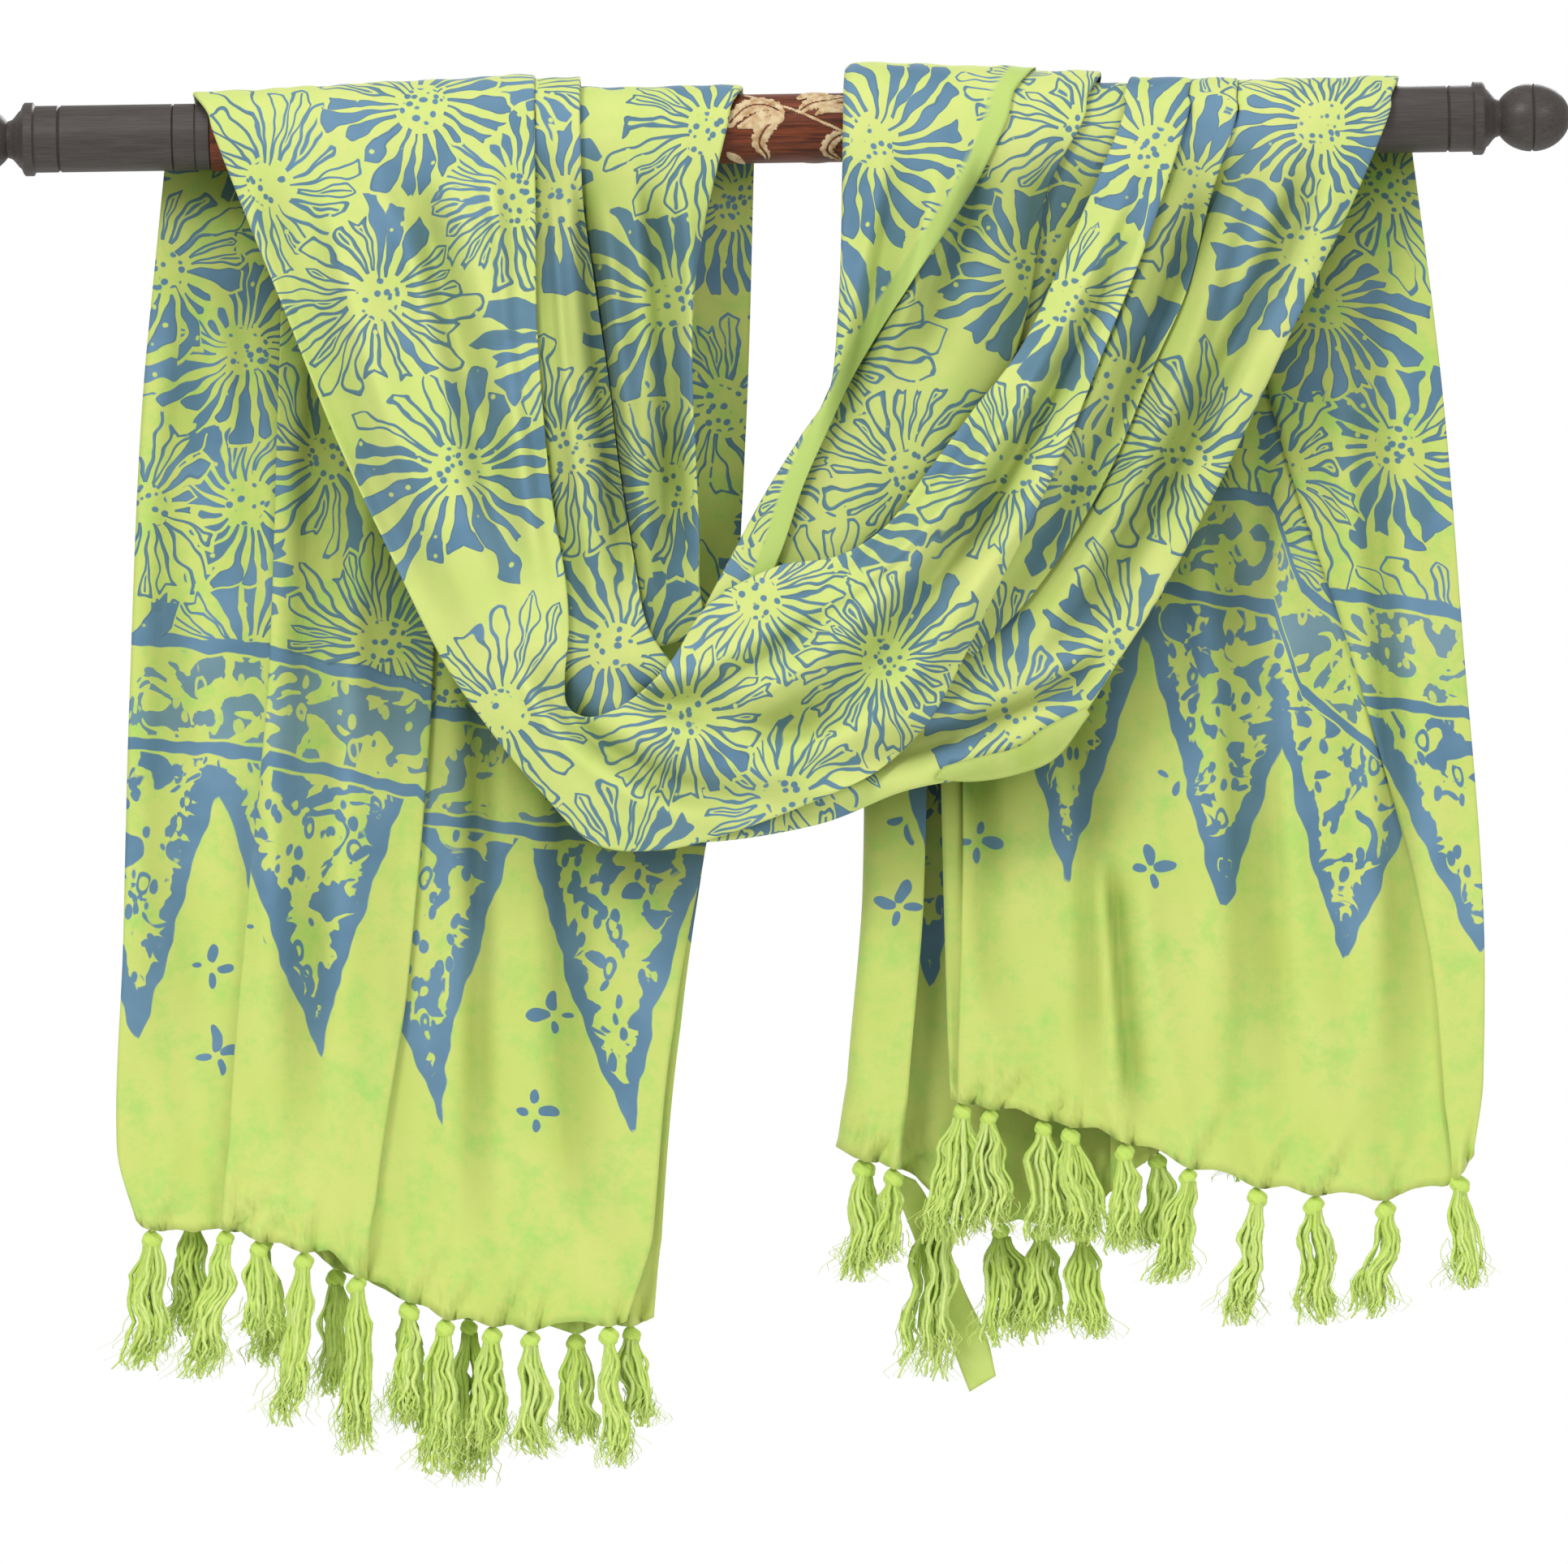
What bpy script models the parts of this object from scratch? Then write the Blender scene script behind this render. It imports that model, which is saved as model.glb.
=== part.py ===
"""Batik sarong hung over a turned wooden rod.

The sarong is one woven length, pleated to a narrow bundle and hung by its two ends: both fringed
ends drop behind the rod as tails, and the middle of the cloth falls in front as a swag.
X runs along the rod, the front is -Y, and the origin is on the rod's axis at its middle.
Tables are in millimetres; MM turns them into metres.
"""

import math
from collections import namedtuple

import bmesh
import bpy
from mathutils import Matrix, Vector

MM = 0.001

# ---- driving dimensions, mm -------------------------------------------------------------------
WALL = 1.0            # cloth as built: a wall over thin rayon
SEAM = 0.3            # gap where two stretches of the cloth meet
ROD_RADIUS = 15.7
ROD_CORE_LEFT = -254.0
ROD_CORE_RIGHT = 227.0
ROD_SIDES = 24
SLEEVE_RADIUS = 14.8
SLEEVE_LENGTH = 78.0
SLEEVE_STEPS = 18
GROOVE_FROM_END = 11.0
GROOVE_HALF = 0.5
GROOVE_DEEP = 0.8
RING_PROUD = 1.5
RING_LENGTH = 5.0
COVE_DEEP = 2.5
NECK_RADIUS = 8.8
NECK_FROM_SLEEVE = 10.0
BALL_FROM_SLEEVE = 26.5
BALL_HALF = 17.0      # the ball finial is a little longer than it is wide
BALL_RADIUS = 15.1
TAIL_TOP = -1.0       # the tails start level with the rod's axis, behind it
LAYER_SPREAD = 0.55   # how much further apart a tail's layers stand at the hem than at the rod
FRONT_LAYER = 17.0    # depth of the foremost tail layer, which hangs plumb
SWAY = 3.2            # depth of the soft waves at the hem
BACK_FALL = 10.0      # how far the rear layers have drifted back at the hem
WAVE_SHORT = 15.0     # the two lengths of the soft waves across a tail
WAVE_LONG = 31.0
TROUGH_AT = 0.62      # where the soft trough runs, as a share of a band's width
TROUGH_WIDE = 0.12

# ---- tables -----------------------------------------------------------------------------------
# A station across a hanging band: its outer and inner edge seen from the front, the depth of each
# edge, how far the middle stands proud (crown), and the depth of the soft trough along it.
Row = namedtuple("Row", "x_out z_out x_in z_in y_out y_in crown trough")
# Where a band crosses the rod: edges, height of each edge over the rod's top, depth at the back.
Over = namedtuple("Over", "x_out x_in h_out h_in back_out back_in")
# A rolled edge: its radius, the angle it turns through, and the flat run behind it.
Curl = namedtuple("Curl", "radius turn run")
# A fold line of a tail: x at the FRACTIONS of its drop, and its depth before and after the fold.
Fold = namedtuple("Fold", "x_top x_quarter x_half x_three_quarters x_low x_hem y_before y_after")
FRACTIONS = (0.0, 0.25, 0.5, 0.75, 0.93, 1.0)
# A tassel: where it is tied on, how far its tip leans, its length.
Tassel = namedtuple("Tassel", "x lean length")

ROLL_ON_ROD = Curl(1.35, 180.0, 0.6)
STEP_ON_ROD = Curl(1.2, 90.0, 1.2)
ROLL_HANGING = Curl(1.7, 180.0, 9.0)
ROLL_INSIDE = Curl(1.7, 180.0, 2.5)
TURN_HANGING = Curl(1.3, 110.0, 0.8)
FAT_ON_ROD = Curl(5.5, 180.0, 22.0)
FAT_HANGING = Curl(1.6, 170.0, 2.0)

FRONT_BAND = [
    Row(-252, 0, -110, 0, -19.3, -26.4, 1.0, 0.0),
    Row(-240, -32, -110, -35, -20.6, -29.2, 3.0, 0.5),
    Row(-222, -78, -110, -86, -22.8, -31.5, 5.0, 1.5),
    Row(-200, -135, -107, -138, -25.2, -33.6, 6.0, 2.0),
    Row(-176, -188, -104, -168, -27.5, -34.5, 6.0, 2.0),
    Row(-154, -234, -99, -200, -29.5, -36.0, 6.0, 1.5),
    Row(-133, -266, -98, -224, -31.0, -37.2, 6.0, 1.0),
    Row(-112, -292, -100, -242, -32.0, -38.2, 5.5, 0.5),
    Row(-88, -316, -99, -255, -33.0, -39.2, 5.0, 0.0),
    Row(-58, -319, -89, -260, -33.5, -40.0, 5.0, 0.0),
    Row(-28, -312, -73, -254, -34.0, -40.5, 6.0, 0.5),
    Row(8, -299, -54, -237, -34.5, -41.0, 7.0, 2.0),
    Row(38, -285, -36, -211, -34.5, -41.0, 8.0, 2.5),
    Row(60, -264, -6, -195, -34.0, -40.5, 8.0, 2.5),
    Row(76, -236, 20, -191, -33.5, -39.5, 7.0, 2.0),
    Row(91, -206, 42, -178, -33.0, -38.0, 6.0, 1.5),
    Row(105, -179, 61, -154, -32.0, -36.5, 5.0, 1.0),
    Row(122, -144, 80, -129, -31.0, -34.0, 4.0, 1.0),
    Row(141, -98, 104, -98, -29.6, -31.4, 3.0, 1.0),
    Row(160, -52, 126, -52, -28.0, -28.6, 2.0, 0.5),
    Row(178, 0, 149, 0, -24.4, -23.8, 1.0, 0.0),
]
FRONT_BAND_LEFT = Over(-262, -110, 3.5, 9.6, 22.7, 29.2)
FRONT_BAND_RIGHT = Over(181, 154, 3.4, 4.6, 20.9, 20.9)

LEFT_PLEAT = [
    Row(-108.5, 0, -90, 0, -23.4, -23.4, 0.3, 0.0),
    Row(-118, -35, -89, -35, -24.4, -24.4, 0.8, 0.0),
    Row(-120, -70, -84.5, -70, -25.3, -25.3, 1.0, 0.0),
    Row(-120, -110, -79, -112, -26.6, -26.4, 1.0, 0.0),
    Row(-116, -150, -75, -150, -28.0, -27.8, 1.0, 0.0),
    Row(-112, -185, -69, -190, -29.4, -29.4, 1.0, 0.0),
    Row(-112, -215, -64, -218, -30.8, -31.0, 1.0, 0.0),
    Row(-108, -242, -55, -234, -32.0, -32.6, 1.0, 0.0),
    Row(-94, -268, -43, -246, -32.8, -33.8, 1.0, 0.0),
]
LEFT_PLEAT_OVER = Over(-108.7, -90, 7.9, 7.9, 26.0, 26.0)

LEFT_INNER = [
    Row(-94, 0, -25, 0, -19.0, -19.0, 0.3, 0.0),
    Row(-96, -35, -34, -36, -19.6, -19.8, 1.0, 0.5),
    Row(-94, -70, -40, -68, -20.2, -20.8, 1.5, 1.0),
    Row(-90, -105, -42, -105, -21.0, -22.0, 2.0, 1.0),
    Row(-85, -142, -41, -142, -21.8, -23.5, 2.0, 1.0),
    Row(-80, -180, -40, -178, -23.2, -25.0, 2.0, 1.0),
    Row(-74, -210, -40, -204, -24.2, -26.2, 1.5, 0.0),
    Row(-68, -232, -36, -224, -25.2, -27.5, 1.0, 0.0),
]
LEFT_INNER_OVER = Over(-97, -18, 3.3, 3.3, 22.4, 22.4)

RIGHT_PANEL = [
    Row(26, 0, 98, 0, -28.4, -26.2, 0.5, 0.0),
    Row(25, -30, 84, -28, -29.2, -27.6, 1.5, 0.5),
    Row(24, -60, 64, -58, -30.0, -28.6, 2.0, 0.5),
    Row(22, -90, 43, -88, -30.8, -30.0, 1.5, 0.0),
    Row(18, -118, 28, -113, -31.5, -31.0, 0.5, 0.0),
    Row(5, -138, 17, -136, -32.2, -32.0, 0.5, 0.0),
    Row(-11, -163, 6, -160, -33.0, -33.0, 1.0, 0.0),
    Row(-26, -190, -3, -186, -34.0, -34.0, 1.0, 0.0),
    Row(-38, -212, -12, -206, -35.0, -35.0, 1.0, 0.0),
]
RIGHT_PANEL_OVER = Over(27, 112, 12.9, 9.3, 31.1, 27.7)

RIGHT_FOLD = [
    Row(132, 0, 90, 0, -23.6, -24.2, 0.3, 0.0),
    Row(117, -28, 76, -26, -24.2, -24.8, 1.0, 0.0),
    Row(111, -60, 56, -56, -24.8, -25.4, 1.2, 0.0),
    Row(104, -93, 37, -87, -25.6, -26.0, 1.2, 0.0),
    Row(92, -125, 20, -114, -26.4, -26.4, 1.2, 0.0),
    Row(72, -156, 6, -144, -27.6, -27.6, 1.2, 0.0),
    Row(50, -186, -8, -176, -29.0, -29.0, 1.2, 0.0),
    Row(32, -212, -14, -202, -30.0, -30.0, 1.0, 0.0),
]
RIGHT_FOLD_OVER = Over(141, 104, 7.2, 7.8, 24.3, 24.3)

RIGHT_RECESS = [
    Row(148, 0, 126, 0, -19.2, -19.2, 0.2, 0.0),
    Row(148, -30, 108, -30, -19.8, -19.8, 0.3, 0.0),
    Row(134, -62, 98, -62, -20.6, -20.6, 0.3, 0.0),
    Row(120, -95, 86, -95, -21.4, -21.4, 0.3, 0.0),
    Row(106, -120, 76, -120, -22.2, -22.2, 0.3, 0.0),
]
RIGHT_RECESS_OVER = Over(152.7, 136, 2.2, 2.2, 20.9, 20.9)

RIGHT_STEP = [
    Row(197, 0, 179.8, 0, -20.8, -20.8, 0.2, 0.0),
    Row(188, -35, 160, -35, -23.0, -22.8, 0.6, 0.0),
    Row(177, -75, 145, -72, -24.2, -24.0, 0.8, 0.0),
    Row(162, -108, 130, -105, -25.2, -25.0, 1.0, 0.0),
    Row(144, -150, 112, -140, -26.0, -25.8, 1.0, 0.0),
    Row(126, -182, 96, -170, -26.8, -26.6, 1.0, 0.0),
    Row(104, -212, 76, -198, -27.4, -27.2, 1.0, 0.0),
    Row(80, -236, 56, -222, -27.8, -27.6, 1.0, 0.0),
]
RIGHT_STEP_OVER = Over(200.6, 182, 3.6, 3.6, 20.9, 20.9)

OUTER_BAND = [
    Row(267, 0, 200, 0, -19.0, -18.1, 0.2, 0.0),
    Row(252, -35, 184, -28, -19.4, -18.6, 0.8, 0.3),
    Row(236, -67, 168, -62, -20.0, -19.8, 1.2, 0.8),
    Row(219, -102, 152, -98, -20.6, -20.4, 1.5, 1.0),
    Row(200, -141, 136, -130, -21.2, -21.0, 1.5, 1.0),
    Row(182, -176, 118, -158, -21.8, -21.6, 1.5, 1.0),
    Row(163, -210, 100, -182, -22.4, -22.4, 1.5, 1.0),
    Row(146, -236, 84, -200, -23.0, -22.8, 1.2, 0.5),
    Row(127, -264, 66, -212, -23.4, -23.0, 1.0, 0.0),
    Row(108, -283, 46, -220, -23.6, -23.2, 1.0, 0.0),
    Row(80, -289, 20, -225, -23.8, -23.4, 1.0, 0.0),
    Row(48, -295, -6, -232, -24.0, -23.6, 1.0, 0.0),
    Row(10, -309, -30, -240, -24.2, -23.8, 1.0, 0.0),
    Row(-42, -316, -58, -250, -24.4, -24.0, 1.0, 0.0),
    Row(-80, -309, -86, -262, -24.6, -24.2, 1.0, 0.0),
]
OUTER_BAND_OVER = Over(273, 201.8, 3.3, 2.4, 20.9, 20.9)

SELVEDGE_TURN = [
    Row(62, -290, 66, -284, -27.2, -26.0, 0.5, 0.0),
    Row(80, -291, 82, -280, -27.6, -26.0, 1.0, 0.0),
    Row(99, -288, 99, -276, -27.8, -26.0, 1.2, 0.0),
    Row(116, -281, 112, -267, -27.4, -26.0, 1.2, 0.0),
    Row(129, -268, 123, -257, -26.8, -26.0, 0.5, 0.0),
]

# The torn corner of the right end, a plain strip that hangs below its hem.
CORNER_STRIP = [
    Row(41, -464.4, 52, -469.4, 46.8, 46.8, 0.0, 0.0),
    Row(45, -479, 57, -477, 50.6, 51.0, 0.0, 0.0),
    Row(52, -498, 64, -493, 53.0, 53.4, 0.3, 0.0),
    Row(60, -524, 73, -518, 54.6, 54.6, 0.5, 0.0),
    Row(68, -546, 83, -540, 55.4, 55.4, 0.5, 0.0),
    Row(72, -556, 86, -555, 55.8, 55.8, 0.3, 0.0),
    Row(79, -565, 82, -565, 56.0, 56.0, 0.0, 0.0),
]

TAIL_LEFT_FRONT = [
    Fold(-275, -288, -295, -300, -304, -296, 20.1, 20.1),
    Fold(-190, -194, -200, -212, -224, -228, 20.1, 18.4),
    Fold(-222, -227, -233, -246, -254, -258, 18.4, 16.7),
    Fold(-152, -156, -161, -174, -189, -194, 16.7, 18.4),
    Fold(-182, -186, -192, -206, -218, -222, 18.4, 20.1),
    Fold(-13, -19, -30, -55, -66, -78, 20.1, 20.1),
]
TAIL_LEFT_FRONT_STEPS = (4, 2, 3, 2, 5)
TAIL_LEFT_FRONT_HEM = [(-304, -472), (-295, -484), (-270, -490), (-258, -485), (-231, -494),
                       (-209, -498), (-194, -510), (-157, -528), (-120, -533), (-78, -531)]

TAIL_LEFT_BACK = [
    Fold(-262, -272, -280, -287, -290, -288, 22.2, 22.2),
    Fold(-110, -114, -118, -126, -132, -134, 28.7, 27.0),
    Fold(-128, -132, -137, -146, -152, -154, 27.0, 25.3),
    Fold(-90, -94, -98, -106, -112, -114, 25.3, 23.6),
    Fold(-106, -110, -115, -124, -130, -132, 23.6, 21.9),
    Fold(-16, -22, -32, -52, -62, -66, 21.9, 21.9),
]
TAIL_LEFT_BACK_STEPS = (5, 1, 2, 1, 4)
TAIL_LEFT_BACK_HEM = [(-290, -474), (-250, -484), (-215, -500), (-190, -516), (-134, -533), (-100, -535),
                      (-60, -530)]

TAIL_RIGHT_FRONT = [
    Fold(65, 65, 65, 66, 67, 68, 22.0, 22.0),
    Fold(106, 106, 106, 106, 105, 105, 22.0, 20.3),
    Fold(76, 76, 76, 75, 72, 71, 20.3, 18.6),
    Fold(278, 291, 299, 306, 305, 300, 18.6, 16.9),
    Fold(205, 214, 249, 279, 288, 291, 16.9, 16.9),
]
TAIL_RIGHT_FRONT_STEPS = (2, 1, 8, 3)
TAIL_RIGHT_FRONT_HEM = [(64, -432), (76, -435), (108, -442), (138, -450), (177, -466), (208, -475),
                        (256, -481), (288, -476), (300, -462)]

TAIL_RIGHT_BACK = [
    Fold(62, 62, 61, 57, 49, 45, 17.4, 17.4),
    Fold(27, 29, 32, 30, 22, 17, 17.4, 30.6),
    Fold(112, 114, 117, 120, 122, 122, 27.2, 25.5),
    Fold(98, 100, 103, 106, 108, 108, 25.5, 23.8),
    Fold(141, 144, 148, 152, 154, 154, 23.8, 22.1),
    Fold(126, 129, 133, 137, 139, 139, 22.1, 20.4),
    Fold(273, 283, 290, 296, 296, 294, 20.4, 20.4),
]
TAIL_RIGHT_BACK_STEPS = (2, 4, 1, 2, 1, 5)
TAIL_RIGHT_BACK_HEM = [(17, -456), (45, -464), (60, -475), (88, -489), (126, -490), (139, -478),
                       (170, -448), (201, -434), (300, -434)]

# A finish: its colour and its roughness.
Finish = namedtuple("Finish", "colour roughness")
LIME = Finish((0.52, 0.66, 0.12), 0.62)
STEEL_BLUE = Finish((0.10, 0.22, 0.35), 0.62)
SELVEDGE_GREEN = Finish((0.45, 0.64, 0.08), 0.62)
YARN = Finish((0.58, 0.72, 0.18), 0.9)
ROSEWOOD = Finish((0.16, 0.055, 0.025), 0.4)
EBONY_STAIN = Finish((0.045, 0.036, 0.033), 0.5)


# ---- helpers ----------------------------------------------------------------------------------
def clear_scene():
    for obj in list(bpy.data.objects):
        bpy.data.objects.remove(obj, do_unlink=True)


def add_object(name, bm, finish):
    """Turns a mesh in millimetres into a named object of the sarong's collection, in metres."""
    bmesh.ops.scale(bm, vec=(MM, MM, MM), verts=bm.verts)
    mesh = bpy.data.meshes.new(name)
    bm.to_mesh(mesh)
    bm.free()
    mesh.shade_smooth()
    material = bpy.data.materials.new(name)
    material.use_nodes = True
    shader = material.node_tree.nodes["Principled BSDF"]
    shader.inputs["Base Color"].default_value = (*finish.colour, 1.0)
    shader.inputs["Roughness"].default_value = finish.roughness
    mesh.materials.append(material)
    obj = bpy.data.objects.new(name, mesh)
    bpy.data.collections["batik_sarong"].objects.link(obj)
    return obj


def add_wall(obj, offset):
    wall = obj.modifiers.new("wall", "SOLIDIFY")
    wall.thickness = WALL * MM
    wall.offset = offset


def between(a, b, t):
    return a + (b - a) * t


def through(keys, s):
    """Catmull-Rom curve through a list of rows, all columns at once; s counts rows."""
    i = min(int(s), len(keys) - 2)
    t = s - i
    p1, p2 = keys[i], keys[i + 1]
    p0 = keys[i - 1] if i > 0 else [2 * a - b for a, b in zip(p1, p2)]
    p3 = keys[i + 2] if i + 2 < len(keys) else [2 * b - a for a, b in zip(p1, p2)]
    return [0.5 * (2 * b + (c - a) * t + (2 * a - 5 * b + 4 * c - d) * t * t
                   + (3 * b - a - 3 * c + d) * t ** 3)
            for a, b, c, d in zip(p0, p1, p2, p3)]


def smooth(t):
    t = max(0.0, min(1.0, t))
    return t * t * (3 - 2 * t)


# ---- hanging bands of the swag ----------------------------------------------------------------
# A key holds: outer edge x y z, inner edge x y z, angle round the rod, crown, trough, slackness.
SADDLE_ANGLES = (180, 150, 120, 90, 60, 30)
SLACK_DROP = 100.0    # the rolled edges open out over this drop below the rod


def hanging_key(row):
    slack = smooth(-max(row.z_out, row.z_in) / SLACK_DROP)
    return [row.x_out, row.y_out, row.z_out, row.x_in, row.y_in, row.z_in,
            0.0, row.crown, row.trough, slack]


def saddle_keys(over, contact):
    """Rows from behind the rod over its top, down to the contact row in front of it."""
    keys = []
    for angle in SADDLE_ANGLES:
        phi = math.radians(angle)
        front = max(0.0, 1 - angle / 90)
        back = max(0.0, angle / 90 - 1)
        key = []
        for x, height, depth, x_front, y_front in (
                (over.x_out, over.h_out, over.back_out, contact.x_out, contact.y_out),
                (over.x_in, over.h_in, over.back_in, contact.x_in, contact.y_in)):
            top = ROD_RADIUS + height
            radius = between(between(top, depth, back), -y_front, front)
            key += [between(x, x_front, smooth(front)), -radius * math.cos(phi), radius * math.sin(phi)]
        keys.append(key + [phi, 0.0, 0.0, 0.0])
    return keys


def rolled_edge(edge, outward, inward, curl, steps):
    """Points from the flat of a band round its rolled edge to the hidden end."""
    centre = edge + (inward - outward) * curl.radius
    turn = math.radians(curl.turn)
    points = []
    for k in range(steps + 1):
        a = turn * k / steps
        points.append(centre + (outward * math.sin(a) - inward * math.cos(a)) * curl.radius)
    points.append(points[-1] + (outward * math.cos(turn) + inward * math.sin(turn)) * curl.run)
    return points


def mixed_curl(pair, slack):
    """An edge first turns right under, then its hidden run lengthens."""
    on_rod, hanging = pair
    return Curl(between(on_rod.radius, hanging.radius, slack),
                between(on_rod.turn, hanging.turn, min(1.0, 2 * slack)),
                between(on_rod.run, hanging.run, max(0.0, 2 * slack - 1)))


def band_section(key, flat_steps, outer_curl, inner_curl, roll_steps):
    """One line of points across a band, hidden end to hidden end."""
    outer, inner = Vector(key[0:3]), Vector(key[3:6])
    phi, crown, trough, slack = key[6:10]
    inward = Vector((0.0, math.cos(phi), -math.sin(phi)))
    outward = (outer - inner).normalized()
    left = [outer]
    right = [inner]
    if outer_curl:
        left = rolled_edge(outer, outward, inward, mixed_curl(outer_curl, slack), roll_steps)
    if inner_curl:
        right = rolled_edge(inner, -outward, inward, mixed_curl(inner_curl, slack), roll_steps)
    flat = []
    for k in range(1, flat_steps):
        t = k / flat_steps
        proud = crown * 4 * t * (1 - t) - trough * math.exp(-((t - TROUGH_AT) / TROUGH_WIDE) ** 2)
        flat.append(between(left[0], right[0], t) - inward * proud)
    return left[::-1] + flat + right


def cloth_grid(sections):
    """A grid whose columns and rows are carried onto the given lines of points."""
    rows, columns = len(sections), len(sections[0])
    bm = bmesh.new()
    bmesh.ops.create_grid(bm, x_segments=columns - 1, y_segments=rows - 1, size=1.0)
    for vert in bm.verts:
        i = round((vert.co.x + 1) / 2 * (columns - 1))
        j = round((vert.co.y + 1) / 2 * (rows - 1))
        vert.co = sections[j][i]
    bm.normal_update()
    return bm


def band(name, finish, keys, flat_steps, outer_curl=None, inner_curl=None, rows_per_key=1, roll_steps=3):
    spans = (len(keys) - 1) * rows_per_key
    stations = [through(keys, j / rows_per_key) for j in range(spans + 1)]
    sections = [band_section(key, flat_steps, outer_curl, inner_curl, roll_steps) for key in stations]
    bm = cloth_grid(sections)
    facing = 0.0
    for face in bm.faces:
        facing += face.normal.y * face.calc_area() if face.calc_center_median().z < 0 else 0.0
    if facing > 0:
        bmesh.ops.reverse_faces(bm, faces=bm.faces)
    obj = add_object(name, bm, finish)
    add_wall(obj, -1.0)
    return obj


def swag():
    rolled = (ROLL_ON_ROD, ROLL_HANGING)
    stepped = (STEP_ON_ROD, TURN_HANGING)
    front = saddle_keys(FRONT_BAND_LEFT, FRONT_BAND[0]) + [hanging_key(row) for row in FRONT_BAND]
    front += saddle_keys(FRONT_BAND_RIGHT, FRONT_BAND[-1])[::-1]
    band("swag_front_band", LIME, front, 5, rolled, (ROLL_ON_ROD, ROLL_INSIDE))

    def arm(name, finish, table, over, flat_steps, outer=None, inner=None):
        keys = saddle_keys(over, table[0]) + [hanging_key(row) for row in table]
        return band(name, finish, keys, flat_steps, outer, inner)

    arm("swag_left_pleat", LIME, LEFT_PLEAT, LEFT_PLEAT_OVER, 2, None, stepped)
    arm("swag_left_inner", LIME, LEFT_INNER, LEFT_INNER_OVER, 3, None, rolled)
    arm("swag_right_panel", LIME, RIGHT_PANEL, RIGHT_PANEL_OVER, 3, (FAT_ON_ROD, FAT_HANGING), None)
    arm("swag_right_fold", LIME, RIGHT_FOLD, RIGHT_FOLD_OVER, 3, stepped, None)
    arm("swag_right_recess", STEEL_BLUE, RIGHT_RECESS, RIGHT_RECESS_OVER, 2)
    arm("swag_right_step", LIME, RIGHT_STEP, RIGHT_STEP_OVER, 2, stepped, None)
    arm("swag_outer_band", LIME, OUTER_BAND, OUTER_BAND_OVER, 4, rolled, None)
    band("selvedge_turn", SELVEDGE_GREEN, [hanging_key(row) for row in SELVEDGE_TURN], 2,
         (TURN_HANGING, TURN_HANGING), None)


# ---- tails ------------------------------------------------------------------------------------
def line_at(table, x):
    """Height of a hem at x, straight between the table's points."""
    if x <= table[0][0]:
        return table[0][1]
    for (x0, z0), (x1, z1) in zip(table, table[1:]):
        if x <= x1:
            return between(z0, z1, (x - x0) / (x1 - x0))
    return table[-1][1]


TURN_STEPS = 3        # facets round each fold line


def fold_x(fold, v):
    for k in range(len(FRACTIONS) - 1):
        if v <= FRACTIONS[k + 1]:
            t = (v - FRACTIONS[k]) / (FRACTIONS[k + 1] - FRACTIONS[k])
            return through([[x] for x in fold[:6]], k + t)[0]
    return fold.x_hem


def tail_depth(x, y, v, fall):
    """Depth of a layer: the layers part on the way down and share one soft sway."""
    sway = math.sin(x / WAVE_SHORT + 0.9) * 0.7 + math.sin(x / WAVE_LONG) * 0.6
    return y + (y - FRONT_LAYER) * LAYER_SPREAD * v + fall * v + SWAY * v * sway


def tail_section(folds, steps, v, turn_steps):
    """Plan of a folded tail at one level, as x and depth at the rod."""
    xs = [fold_x(fold, v) for fold in folds]
    points = []
    for k, count in enumerate(steps):
        here, there = folds[k], folds[k + 1]
        sign = 1 if there.x_half > here.x_half else -1
        r_here = abs(here.y_after - here.y_before) / 2
        r_there = abs(there.y_after - there.y_before) / 2
        start, end = xs[k] + sign * r_here, xs[k + 1] - sign * r_there
        first = 0 if k == 0 else 1
        for n in range(first, count + 1):
            t = n / count
            points.append((between(start, end, t), between(here.y_after, there.y_before, t)))
        if k + 1 < len(steps):
            middle = (there.y_before + there.y_after) / 2
            half = (there.y_before - there.y_after) / 2
            for n in range(1, turn_steps + 1):
                a = math.pi * n / turn_steps
                points.append((end + sign * r_there * math.sin(a), middle + half * math.cos(a)))
    return points


def hem_points(folds, steps, hem, fall, turn_steps):
    """The hem of a tail as built: its points from fold to fold."""
    return [Vector((x, tail_depth(x, y, 1.0, fall), line_at(hem, x)))
            for x, y in tail_section(folds, steps, 1.0, turn_steps)]


def tail(name, finish, folds, steps, hem, fall=0.0, rows=8):
    low = hem_points(folds, steps, hem, fall, TURN_STEPS)
    sections = []
    for j in range(rows + 1):
        v = j / rows
        plan = tail_section(folds, steps, v, TURN_STEPS)
        sections.append([Vector((x, tail_depth(x, y, v, fall), between(TAIL_TOP, end.z, v)))
                         for (x, y), end in zip(plan, low)])
    obj = add_object(name, cloth_grid(sections), finish)
    add_wall(obj, 0.0)
    return obj


def tails():
    tail("tail_left_front", LIME, TAIL_LEFT_FRONT, TAIL_LEFT_FRONT_STEPS, TAIL_LEFT_FRONT_HEM)
    tail("tail_left_back", LIME, TAIL_LEFT_BACK, TAIL_LEFT_BACK_STEPS, TAIL_LEFT_BACK_HEM, BACK_FALL)
    tail("tail_right_front", LIME, TAIL_RIGHT_FRONT, TAIL_RIGHT_FRONT_STEPS, TAIL_RIGHT_FRONT_HEM)
    tail("tail_right_back", LIME, TAIL_RIGHT_BACK, TAIL_RIGHT_BACK_STEPS, TAIL_RIGHT_BACK_HEM, BACK_FALL)
    band("corner_strip", SELVEDGE_GREEN, [hanging_key(row) for row in CORNER_STRIP], 2)


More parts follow.
